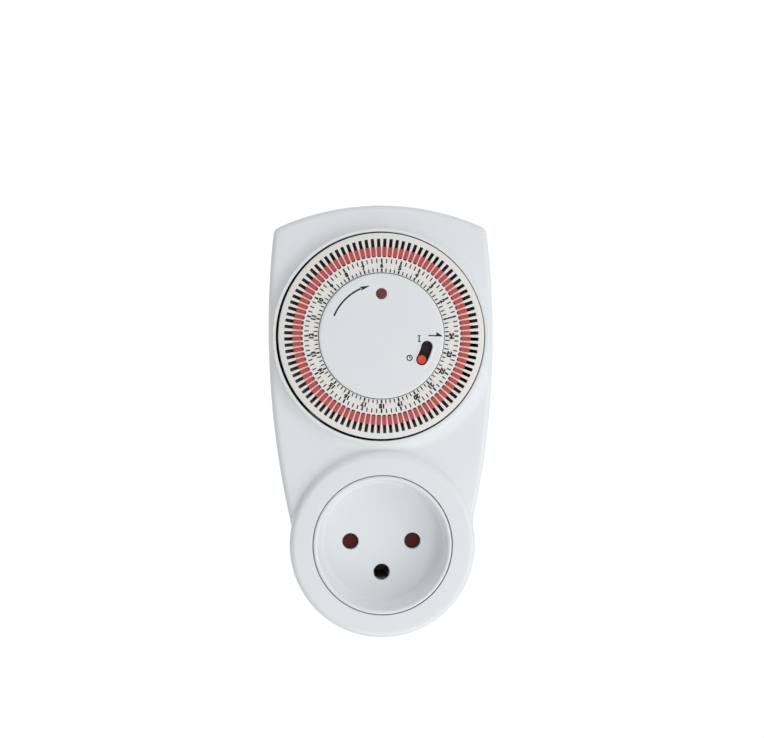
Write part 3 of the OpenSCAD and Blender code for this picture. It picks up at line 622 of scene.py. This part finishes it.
def outline(count, inset=0.0):
    """The casing's outline, or a line inset from it, as count points seen from its middle."""
    middle, reach, halvings = np.array([0.0, 40.0]), 90.0, 40
    directions = polar(1.0, np.arange(count) * 360 / count + 90)
    low, high = np.zeros(count), np.full(count, reach)
    for _ in range(halvings):
        mid = (low + high) / 2
        p = middle + directions * mid[:, None]
        inside = outline_distance(p[:, 0], p[:, 1]) < -inset
        low = np.where(inside, mid, low)
        high = np.where(inside, high, mid)
    return middle + directions * low[:, None]


def outside_opening(x, y):
    """Distance outside the dial's opening."""
    return np.hypot(x - opening[0], y - opening[1]) - opening_r


def collar_height(x, y):
    """The raised collar round the dial: a flat lip and a hollow cove down to the face."""
    left = np.clip(collar_lip + cove_run - outside_opening(x, y), 0, cove_run)
    return face_h + cove_r - np.sqrt(cove_r**2 - left**2)


def boss_height(x, y):
    """The socket boss: a round table with a rounded shoulder."""
    inset = foot_r - np.hypot(x, y)
    top = front_h - rounding(inset, edge_r)
    return np.where(inset > 0, top, front_h - edge_r + boss_wall_slope * inset)


def front_height(x, y):
    inset = -block_distance(x, y)
    face = collar_height(x, y)
    face = face - rounding(inset, edge_r) - np.where(inset < 0, -outside_slope * inset, 0)
    face = face - rounding(outside_opening(x, y), lip_round)
    return smooth_max(face, boss_height(x, y), face_fillet) - rounding(np.hypot(x, y) - seat_r, seam)


def front_casing():
    """The cover, with the dial's opening in its collar and the socket's seat in its boss."""
    solid = Solid()
    count = 720
    lines = [outline(count, step) for step in arc_steps(edge_r)]
    dial_rings = [circle_points(opening, opening_r + step, 480) for step in arc_steps(lip_round, 5)]
    seat_rings = [circle_points((0, 0), seat_r + step, 240) for step in arc_steps(seam, 3)]
    taken = [p for ring in lines + dial_rings + seat_rings for p in ring]
    loose = []

    def add_loose(points, gap):
        keep = spaced([p for p in points if outline_distance(*p) < -edge_r], taken, gap)
        loose.extend(keep)
        taken.extend(keep)

    for step in collar_steps:
        add_loose(circle_points(opening, opening_r + step, 400), 0.12)
    for step in boss_steps:
        add_loose(circle_points((0, 0), insert_r + step, 300), 0.12)
    add_loose(grid_points((-34, 35), (-28, 103), 2.0), 0.9)

    def open_to(x, y):
        return (np.hypot(x - opening[0], y - opening[1]) > opening_r) & (np.hypot(x, y) > seat_r)

    top = solid.relief(lines + dial_rings + seat_rings, loose, front_height, open_to)
    skirt = solid.ring(lines[0], split_h + seam)
    lip = solid.ring(outline(count, seam), split_h)
    inner = outline(count, wall)
    inner_low = solid.ring(inner, split_h)
    solid.strips([inner_low, lip, skirt, top[0]])
    inner_top, open_low, seat_low = solid.relief(
        [inner, dial_rings[0], seat_rings[0]], [], level(ceiling_h), open_to
    )
    solid.strip(inner_top, inner_low)
    solid.strip(open_low, top[len(lines)])
    solid.strip(seat_low, top[len(lines) + len(dial_rings)])
    return solid.object("front_casing_shell")


def rear_casing():
    """The tray with the plug's body, a recessed panel and the screws' wells and towers."""
    solid = Solid()
    count, plug_count, well_count = 480, 160, 48
    lines = [outline(count, step) for step in arc_steps(edge_r)]
    foot_rings = [circle_points((0, 0), plug_r + step, plug_count) for step in arc_steps(plug_fillet, 6)]
    well_steps = arc_steps(well_round, 3)
    wells = [circle_points(spot, well_r + step, well_count) for spot in screw_spots for step in well_steps]
    (x0, x1), (y0, y1) = panel_x, panel_y
    border = [
        rounded_block(x0 - d, x1 + d, y0 - d, y1 + d, panel_corner + d) for d in (0, 0.12, 0.3, panel_ramp)
    ]
    rings = lines + foot_rings + wells + border
    grid = grid_points((-33, 34), (-27, 102), 2.5)
    inner_grid = [p for p in grid if outline_distance(*p) < -edge_r]
    loose = spaced(inner_grid, [p for ring in rings for p in ring], 1.0)

    def height(x, y):
        h = back_h + rounding(-outline_distance(x, y), edge_r)
        h = h - rounding(np.hypot(x, y) - plug_r, plug_fillet)
        for spot in screw_spots:
            h = h + rounding(np.hypot(x - spot[0], y - spot[1]) - well_r, well_round)
        gx = np.maximum(np.maximum(x0 - x, x - x1), 0)
        gy = np.maximum(np.maximum(y0 - y, y - y1), 0)
        ramp = np.clip(1 - np.hypot(gx, gy) / panel_ramp, 0, 1)
        return h + panel_depth * ramp * ramp * (3 - 2 * ramp)

    def wanted(x, y):
        return (np.hypot(x, y) > plug_r) & clear_of(screw_spots, well_r)(x, y)

    made = solid.relief(rings, loose, height, wanted)
    skirt = solid.ring(lines[0], split_h - seam)
    lip = solid.ring(outline(count, seam), split_h)
    inner = outline(count, wall)
    inner_top = solid.ring(inner, split_h)
    inner_low = solid.ring(inner, floor_h)
    solid.strips([made[0], skirt, lip, inner_top, inner_low])

    rim = [
        solid.ring(circle_points((0, 0), plug_r - step, plug_count), rounding(step, plug_edge))
        for step in arc_steps(plug_edge, 6)
    ]
    solid.strips([made[len(lines)], *rim])
    solid.cap(rim[-1])

    first_well = len(lines) + len(foot_rings)
    for n, spot in enumerate(screw_spots):
        bottom = solid.ring(circle_points(spot, well_r, well_count), back_h + well_depth)
        solid.strip(made[first_well + len(well_steps) * n], bottom)
        solid.cap(bottom)
    towers = [circle_points(spot, tower_r, well_count) for spot in screw_spots]
    floor = solid.relief([inner] + towers, [], level(floor_h), clear_of(screw_spots, tower_r))
    solid.strip(inner_low, floor[0])
    for tower, foot in zip(towers, floor[1:]):
        top = solid.ring(tower, split_h - tower_gap)
        solid.strip(foot, top)
        solid.cap(top)
    return solid.object("rear_casing_shell")


piece(front_casing(), "chassis", "casing_white", "front_casing")
piece(rear_casing(), "chassis", "casing_white", "rear_casing")


# ---- Socket and plug ----


def socket_insert():
    """The round insert: a lip, a dish and a floor with three chamfered holes."""
    solid = Solid()
    count = 240
    mouth_r = dish_mouth_r + 0.05
    profile = [(insert_r, flange_h)]
    profile += [(insert_r - step, front_h - rounding(step, insert_rim)) for step in arc_steps(insert_rim, 5)]
    profile += [
        (mouth_r + step, front_h - rounding(step, dish_mouth_round))
        for step in reversed(arc_steps(dish_mouth_round, 6))
    ]
    taper = (dish_mouth_r - dish_floor_r) / dish_depth
    floor_r = dish_floor_r - dish_corner
    for turn in np.radians(np.linspace(0, 90, 8)):
        rise = dish_corner * (1 - math.sin(turn))
        profile.append((floor_r + dish_corner * math.cos(turn) + taper * rise, dish_floor_h + rise))
    rings = [solid.ring(circle_points((0, 0), r, count), h) for r, h in profile]
    solid.strips(rings)

    spots = list(pin_spots.values())
    holes = [circle_points(spot, hole_r + step, 64) for spot in spots for step in (hole_chamfer, 0)]

    def height(x, y):
        h = np.full_like(x, dish_floor_h)
        for spot in spots:
            outside = np.hypot(x - spot[0], y - spot[1]) - hole_r
            h -= np.clip(hole_chamfer - outside, 0, hole_chamfer)
        return h

    through = clear_of(spots, hole_r)
    edge = circle_points((0, 0), floor_r, count)
    grid = [p for p in grid_points((-18, 19), (-18, 19), 1.5) if math.hypot(*p) < floor_r - 0.8]
    loose = spaced(grid, [p for ring in holes for p in ring], 0.6)
    floor = solid.relief([edge] + holes, loose, height, through)
    solid.strip(rings[-1], floor[0])
    under = [circle_points((0, 0), skirt_inner_r, count)] + holes[1::2]
    below = solid.relief(under, [], level(dish_floor_back), through)
    for upper, lower in zip(floor[2::2], below[1:]):
        solid.strip(upper, lower)
    skirt = [
        solid.ring(circle_points((0, 0), r, count), h)
        for r, h in ((skirt_inner_r, skirt_low), (skirt_outer_r, skirt_low), (skirt_outer_r, flange_h))
    ]
    solid.strips([below[0], *skirt, rings[0]])
    return solid.object("socket_dish", 40)


piece(socket_insert(), "chassis", "casing_white", "socket_insert")


def plug_pin(name, spot):
    """A round pin: a blunt rounded tip, a fillet at its root and a head inside the plug's body."""
    solid = Solid()
    tip_r = pin_r - pin_tip_round
    profile = [(axis_r, pin_end), (pin_tip_flat, pin_end), (tip_r + 0.12, pin_end)]
    for turn in np.radians(np.linspace(15, 90, 8)):
        rise = pin_tip_round * (1 - math.cos(turn))
        profile.append((tip_r + pin_tip_round * math.sin(turn), pin_end + rise))
    profile += [(pin_r + step, h) for step, h in pin_root]
    neck_r, (head_low, head_high) = profile[-1][0], pin_head_h
    profile += [(neck_r, head_low), (pin_head_r, head_low), (pin_head_r, head_high), (axis_r, head_high)]
    solid.lathe(profile, spot)
    return solid.object(name, 40)


for key, spot in pin_spots.items():
    piece(plug_pin(f"{key}_plug_pin", spot), "chassis", "plated_brass", f"{key}_pin")


# ---- Shutter spring ----


def wound_wire(low, high, wire, turns, steps=24, sides=10):
    """A wire wound along y between two corners of a box."""
    solid = Solid()
    middle = (low + high) / 2
    r = (high[0] - low[0]) / 2 - wire
    turn = 2 * math.pi * np.arange(turns * steps + 1) / steps
    along = np.linspace(low[1] + wire, high[1] - wire, len(turn))
    round_wire = circle_points((0, 0), wire, sides)
    rings = []
    for a, y in zip(turn, along):
        out = r + round_wire[:, 0]
        points = [middle[0] + out * math.cos(a), y + round_wire[:, 1], middle[2] + out * math.sin(a)]
        rings.append(solid.add(np.stack(points, 1)))
    solid.tube(rings)
    return solid.object("return_spring")


spring = wound_wire(spring_low, spring_high, spring_wire, spring_turns)
piece(spring, "chassis", "steel", "shutter_spring")
1 - travel / (spring_high[1] - spring_low[1])
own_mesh(spring)


# ---- Dial ----


def dial_sector():
    """One of the dial ring's sectors, with its slot at the middle; its neighbours close it."""
    solid = Solid()
    half = slot_pitch / 2
    inner_r, outer_r = disc_r + bore_gap, dial_r
    radii = [inner_r + s for s in arc_steps(dial_bore_edge, 3)] + [20.0, 21.0, 22.0, 23.0]
    radii += list(np.linspace(slot_in, slot_out, 8)) + [slot_out + 0.5, slot_out + 1.0]
    radii += [outer_r - s for s in reversed(arc_steps(dial_edge, 5))]
    turns = np.linspace(-half, half, 7)
    side_a = [polar(r, first_slot - half) for r in radii]
    side_b = [polar(r, first_slot + half) for r in reversed(radii)]
    outer_arc = [polar(outer_r, first_slot + t) for t in turns[1:-1]]
    inner_arc = [polar(inner_r, first_slot + t) for t in turns[::-1][1:-1]]
    border = np.array(side_a + outer_arc + side_b + inner_arc)
    slots = []
    for d in (0, slot_edge * 0.3, slot_edge):
        side = slot_w / 2 + d
        block = rounded_block(slot_in - d, slot_out + d, -side, side, slot_corner + d, 3)
        slots.append(turned(block, first_slot))
    near_slot = 0.3
    loose = [
        polar(r, first_slot + t) for r in radii[1:-1] for t in turns[1:-1]
        if not slot_in - near_slot < r < slot_out + near_slot
    ]

    def slot_gap(x, y):
        """Distance outside the slot."""
        p = turned(np.stack([x, y], -1), -first_slot)
        along = np.maximum(slot_in + slot_corner - p[:, 0], p[:, 0] - slot_out + slot_corner)
        across = np.abs(p[:, 1]) - slot_w / 2 + slot_corner
        return np.hypot(np.maximum(along, 0), np.maximum(across, 0)) - slot_corner

    def height(x, y):
        r = np.hypot(x, y)
        top = dial_h - rounding(r - inner_r, dial_bore_edge) - rounding(outer_r - r, dial_edge)
        top = top - margin_slope * np.clip(r - slot_out, 0, None)
        return top - rounding(slot_gap(x, y), slot_edge)

    def wanted(x, y):
        return slot_gap(x, y) > 0

    top = solid.relief([border] + slots, loose, height, wanted)
    under = solid.relief([border, slots[0]], [], level(dial_h - ring_t), wanted)
    solid.strip(top[1], under[1])
    # Walls stand only along the two arcs, where the ring ends
    arc_from, arc_to = len(radii) - 1, len(radii) + len(outer_arc) + 1
    back_from = 2 * len(radii) + len(outer_arc) - 1
    walls = [[loop[0][arc_from:arc_to] for loop in (top, under)]]
    walls.append([loop[0][back_from:] + loop[0][:1] for loop in (top, under)])
    for a, b in walls:
        for i in range(len(a) - 1):
            solid.faces.append([a[i], a[i + 1], b[i + 1], b[i]])
    return solid.object("dial_sector")


ring = ring_of("dial_face", dial_sector(), slot_count, finishes["dial_cream"], merge=0.01)
face_outwards(ring.data)
piece(shaded(ring, 35), "dial", "dial_cream", "dial_ring")


def tappet(solid, degrees):
    """One tappet at an angle: a blade with a head over its slot, and a wider foot behind the carrier."""

    def loop(half, inset=0.0):
        block = rounded_block(
            tappet_in + inset, tappet_in + tappet_l - inset, inset - half, half - inset, tappet_corner, 3
        )
        return turned(block, degrees)

    top = tappet_high[2]
    blade = [(loop(tappet_half), foot_top), (loop(tappet_half), head_back), (loop(head_half), head_back)]
    solid.stack(blade + [(loop(head_half, inset), top - drop) for inset, drop in head_easing])
    solid.stack([(loop(foot_half), tappet_low[2]), (loop(foot_half), foot_top - foot_gap)])


three = Solid()
for k in (1, 2, 3):
    tappet(three, first_slot + k * slot_pitch)
quarter = ring_of(
    "quarter_tappet_set", three.object("three_tappets"), 24, finishes["tappet_red"], play=tappet_play, seed=7
)
piece(quarter, "dial", "tappet_red", "quarter_tappets")
for hour in range(1, 25):
    one = Solid()
    tappet(one, first_slot + 4 * hour * slot_pitch)
    obj = one.object(f"tappet_{hour:02d}_red", centre=(0, dial_y))
    piece(obj, f"tappet_{hour:02d}", "tappet_red", f"tappet_hour_{hour:02d}")


# ---- Print on the dial ----


def print_shape(solid, xy, h):
    """A printed shape within flat points."""
    solid.stack([(xy, h - print_t), (xy, h + print_t)])


def printed_ticks(name, degrees, width):
    """Rows of ticks at the angles given, repeated for each hour."""
    solid = Solid()
    for a in degrees:
        for r0, r1 in tick_rows:
            bar = [(r0, -width / 2), (r1, -width / 2), (r1, width / 2), (r0, width / 2)]
            print_shape(solid, turned(bar, a), dial_h)
    return piece(ring_of(name, solid.object(name), 24, ink), "dial", "black_plastic", material=ink)


printed_ticks("quarter_ticks", [first_tick + k * slot_pitch for k in (1, 2, 3)], quarter_tick_w)
printed_ticks("hour_ticks", [first_tick], hour_tick_w)


def letters(solid, words, size, centre, degrees, h, bold=0.07):
    """Adds type of that height, upright at the angle given, centred on a point."""
    curve = bpy.data.curves.new("type", "FONT")
    curve.body, curve.size = words, 1.0
    curve.extrude = 0.5
    curve.align_x, curve.align_y = "CENTER", "CENTER"
    curve.resolution_u = 4
    curve.offset = bold
    obj = link(bpy.data.objects.new("type", curve))
    mesh = bpy.data.meshes.new_from_object(obj)
    bpy.data.objects.remove(obj)
    work = bmesh.new()
    work.from_mesh(mesh)
    bmesh.ops.remove_doubles(work, verts=work.verts, dist=1e-5)
    work.to_mesh(mesh)
    work.free()
    points = np.array([v.co[:] for v in mesh.vertices])
    middle = (points.min(0) + points.max(0)) / 2
    scale = size / (points[:, 1].max() - points[:, 1].min())
    xy = turned((points - middle)[:, :2] * scale, degrees, centre)
    ids = solid.add(np.column_stack([xy, h + 2 * print_t * points[:, 2]]))
    solid.faces.extend([ids[v] for v in face.vertices] for face in mesh.polygons)


numbers = Solid()
for hour in range(1, 25):
    turn = first_tick + hour * 15
    letters(numbers, str(hour), number_size, polar(number_r, turn), turn - 90, dial_h)
piece(numbers.object("hour_numbers", centre=(0, dial_y)), "dial", "black_plastic", material=ink)


# ---- Centre disc ----


def knob_slot_outline(d, end_count=24):
    """The knob's slot widened by d on every side."""
    half = knob_slot_w / 2 + d
    long_way = np.linspace(knob_from, knob_to, 18)
    half_turn = np.linspace(0, 180, end_count)[1:-1]
    outer = polar(knob_orbit + half, long_way)
    inner = polar(knob_orbit - half, long_way[::-1])
    end = polar(half, knob_to + half_turn) + polar(knob_orbit, knob_to)
    start = polar(half, knob_from + 180 + half_turn) + polar(knob_orbit, knob_from)
    return np.concatenate([outer, end, inner, start])


def knob_slot_gap(x, y):
    """Distance outside the knob's slot."""
    angle = np.degrees(np.arctan2(y, x))
    along = np.abs(np.hypot(x, y) - knob_orbit)
    ends = [np.hypot(x - p[0], y - p[1]) for p in (polar(knob_orbit, knob_from), polar(knob_orbit, knob_to))]
    within = (angle > knob_from) & (angle < knob_to)
    return np.where(within, along, np.minimum(*ends)) - knob_slot_w / 2


def centre_disc():
    """The fixed disc inside the dial, with the lens's hole and the knob's slot."""
    solid = Solid()
    lines = [circle_points((0, 0), disc_r - step, 240) for step in arc_steps(disc_edge, 6)]
    lens_rings = [circle_points((0, lens_y), lens_hole_r + step, 48) for step in arc_steps(hole_round, 3)]
    slots = [knob_slot_outline(d) for d in (0, 0.05, 0.12, 0.2, 0.3, 0.42, 0.56, 0.72, 0.9, 1.1)]
    rings = lines + lens_rings + slots
    grid = [p for p in grid_points((-18, 19), (-18, 19), 1.2) if math.hypot(*p) < disc_r - disc_edge]
    loose = spaced(grid, [p for ring in rings for p in ring], 0.6)

    def height(x, y):
        h = disc_h - rounding(disc_r - np.hypot(x, y), disc_edge)
        gap = np.maximum(knob_slot_gap(x, y), 0)
        lip = slot_lip * np.exp(-(((gap - slot_lip_w) / slot_lip_w) ** 2))
        h = h + lip - rounding(gap, slot_round)
        return h - rounding(np.hypot(x, y - lens_y) - lens_hole_r, hole_round)

    def wanted(x, y):
        return (knob_slot_gap(x, y) > 0) & (np.hypot(x, y - lens_y) > lens_hole_r)

    top = solid.relief(rings, loose, height, wanted)
    under = solid.relief([lines[0], lens_rings[0], slots[0]], [], level(disc_back), wanted)
    for upper, lower in zip((top[0], top[len(lines)], top[len(lines) + len(lens_rings)]), under):
        solid.strip(upper, lower)
    return solid.object("centre_cap", centre=(0, dial_y))


piece(centre_disc(), "chassis", "casing_white", "centre_disc")


def lens():
    """The indicator's window: a flange behind the disc and a slightly crowned face."""
    solid = Solid()
    flange_r, flange_back, crown_edge = lens_r + 0.7, disc_back - 0.8, 0.8
    top = lens_high[2]
    profile = [(axis_r, flange_back), (flange_r, flange_back), (flange_r, disc_back), (lens_r, disc_back)]
    profile += [(lens_r - s, top - lens_crown - rounding(s, lens_round)) for s in arc_steps(lens_round, 5)]
    profile += [(lens_r * k, top - lens_crown * (k / crown_edge) ** 2) for k in (0.7, 0.5, 0.3, 0.1)]
    profile.append((axis_r, top))
    solid.lathe(profile, (0, lens_y))
    return solid.object("indicator_window", 50, (0, dial_y))


piece(lens(), "chassis", "lens_red", "indicator_lens")


def knob_cap():
    """The knob's button, with a shallow dimple on top."""
    solid = Solid()
    top = disc_h - 0.3
    profile = [(axis_r, disc_back - 1.0), (knob_r, disc_back - 1.0)]
    profile += [(knob_r - s, top - rounding(s, knob_round)) for s in arc_steps(knob_round, 5)]
    profile += [(0.75, top), (0.6, top - 0.08), (axis_r, top - 0.1)]
    solid.lathe(profile, polar(knob_orbit, knob_from))
    return solid.object("override_cap", 40, (0, dial_y))


def knob_slider():
    """The dark plate that fills the slot behind the knob, and the knob's tail."""
    solid = Solid()
    back, front = disc_back - 1.6, disc_back - 0.12
    sweep = np.linspace(knob_from - slider_sweep, knob_from + slider_sweep, 40)
    plate = np.concatenate([polar(slider_out, sweep), polar(slider_in, sweep[::-1])])
    solid.stack([(plate, back), (plate, front)])
    tail_back, tail_front = knob_tail_h, back + 0.1
    tail = [(axis_r, tail_back), (knob_r, tail_back), (knob_r, tail_front), (axis_r, tail_front)]
    solid.lathe(tail, polar(knob_orbit, knob_from), 96)
    return solid.object("override_slider", 40, (0, dial_y))


piece(knob_cap(), "knob", "knob_orange", "override_knob")
piece(knob_slider(), "knob", "black_plastic", "override_knob")


# ---- Print on the centre disc ----


def stroke(solid, line, width):
    """A printed line of one width through flat points."""
    line = np.asarray(line, float)
    along = np.gradient(line, axis=0)
    along /= np.linalg.norm(along, axis=1)[:, None]
    side = np.stack([-along[:, 1], along[:, 0]], -1) * width / 2
    print_shape(solid, np.concatenate([line + side, (line - side)[::-1]]), disc_h)


marks = Solid()
# Turning arrow: an arc and a slim head
arrow_r = 15.4
stroke(marks, polar(arrow_r, np.linspace(157, 113.5, 34)), 0.5)
head = polar(arrow_r + np.array([0, 0.62, 0, -0.62]), np.array([102.6, 114.0, 112.6, 114.0]))
print_shape(marks, head, disc_h)
# Pointer: a line with half of an arrow's head on its upper side
pointer = [(13.95, 0.2), (13.95, -0.16), (18.1, -0.26), (18.05, 0.0), (16.4, 1.05), (16.25, 0.14)]
print_shape(marks, pointer, disc_h)
# Always-on mark: a stem between two short bars
for x0, x1, y0, y1 in ((11.0, 11.36, -1.7, -0.02), (10.74, 11.62, -0.05, 0.17), (10.74, 11.62, -1.86, -1.62)):
    print_shape(marks, [(x0, y0), (x1, y0), (x1, y1), (x0, y1)], disc_h)
# Clock mark: a ring and two hands
clock = np.array([8.3, -6.6])
stroke(marks, polar(0.78, np.linspace(0, 358, 48)) + clock, 0.32)
for hand in (((0, 0.55), (0, 0.3), (0, 0)), ((-0.06, 0), (0.2, 0), (0.5, 0))):
    stroke(marks, clock + np.array(hand), 0.22)
piece(marks.object("disc_marks", centre=(0, dial_y)), "chassis", "black_plastic", material=ink)


# ---- CAD nodes that stay ----

slots = {part["node"]: part["material_slot"] for part in frame["record"]["subparts"]}
for name, obj in frame["nodes"].items():
    chosen = "tarnished" if name in ("live_contact", "neutral_contact", "earth_contact") else slots[name]
    for place in obj.material_slots:
        place.material = finishes[chosen]


# ---- Camera, light and floor ----

image_w = 764
focal_px = 1436.0
sensor_w = 36.0
camera_place = (-0.01785, -0.47098, 0.05787)
yaw, pitch, roll = (math.radians(a) for a in (-2.392, 90 - 0.673, -0.340))

camera_data = bpy.data.cameras.new("camera")
camera_data.sensor_width = sensor_w
camera_data.lens = focal_px / image_w * sensor_w
camera = link(bpy.data.objects.new("camera", camera_data))
camera.matrix_world = (
    Matrix.Translation(camera_place)
    @ Matrix.Rotation(yaw, 4, "Z")
    @ Matrix.Rotation(pitch, 4, "X")
    @ Matrix.Rotation(roll, 4, "Z")
)
bpy.context.scene.camera = camera


def area_light(name, place, target, size, energy, colour):
    data = bpy.data.lights.new(name, "AREA")
    data.shape = "RECTANGLE"
    data.size, data.size_y = size
    data.energy = energy
    data.color = colour
    lamp = link(bpy.data.objects.new(name, data))
    lamp.location = place
    lamp.rotation_euler = (Vector(target) - Vector(place)).to_track_quat("-Z", "Y").to_euler()


area_light("key", (0.36, -0.26, 0.0), (0, 0, 0.04), (0.22, 0.30), 0.30, (1, 0.99, 0.98))
area_light("front", (0.16, -0.42, -0.06), (0, 0, 0.03), (0.12, 0.12), 0.12, (1, 0.995, 0.99))
area_light("top", (0.05, -0.35, 0.5), (0, 0, 0.05), (0.5, 0.4), 0.45, (0.97, 0.985, 1))
area_light("low", (0.08, -0.32, -0.42), (0, 0, 0.05), (0.5, 0.4), 0.9, (1, 1, 1))

# The studio: an even grey, a little brighter on the right, and white behind the object
side_gain, room_level, backdrop_level = 0.09, 0.52, 1.05
backdrop_from, backdrop_full = 0.2, 0.8
world = bpy.data.worlds.new("studio")
world.use_nodes = True
sky = Graph(world.node_tree)
direction = sky.node("ShaderNodeTexCoord", output="Generated")
across = sky.node("ShaderNodeSeparateXYZ", {}, [direction], "X")
depth = sky.node("ShaderNodeSeparateXYZ", {}, [direction], "Y")
ramp = [depth, backdrop_from, backdrop_full, 0.0, 1.0]
behind = sky.node("ShaderNodeMapRange", {"interpolation_type": "SMOOTHSTEP"}, ramp)
around = across * side_gain + room_level
strength = around + behind * (backdrop_level - around)
background = world.node_tree.nodes["Background"]
world.node_tree.links.new(strength.socket, background.inputs["Strength"])
background.inputs["Color"].default_value = (1, 1, 1, 1)
bpy.context.scene.world = world
bpy.context.scene.view_settings.view_transform = "Standard"

floor_mesh = bpy.data.meshes.new("floor")
floor_r, floor_z, floor_sides = 0.62, -0.5, 96
rim = np.column_stack([circle_points((0, 0), floor_r, floor_sides), np.full(floor_sides, floor_z)])
floor_mesh.from_pydata(rim.tolist(), [], [list(range(floor_sides))])
floor = link(bpy.data.objects.new("floor", floor_mesh))
paper = finish("floor paper", (0.86, 0.86, 0.86), (0.84, 0.84, 0.84), (0.8, 0.9), (1.0, 0.002), 60.0)
floor_mesh.materials.append(paper)
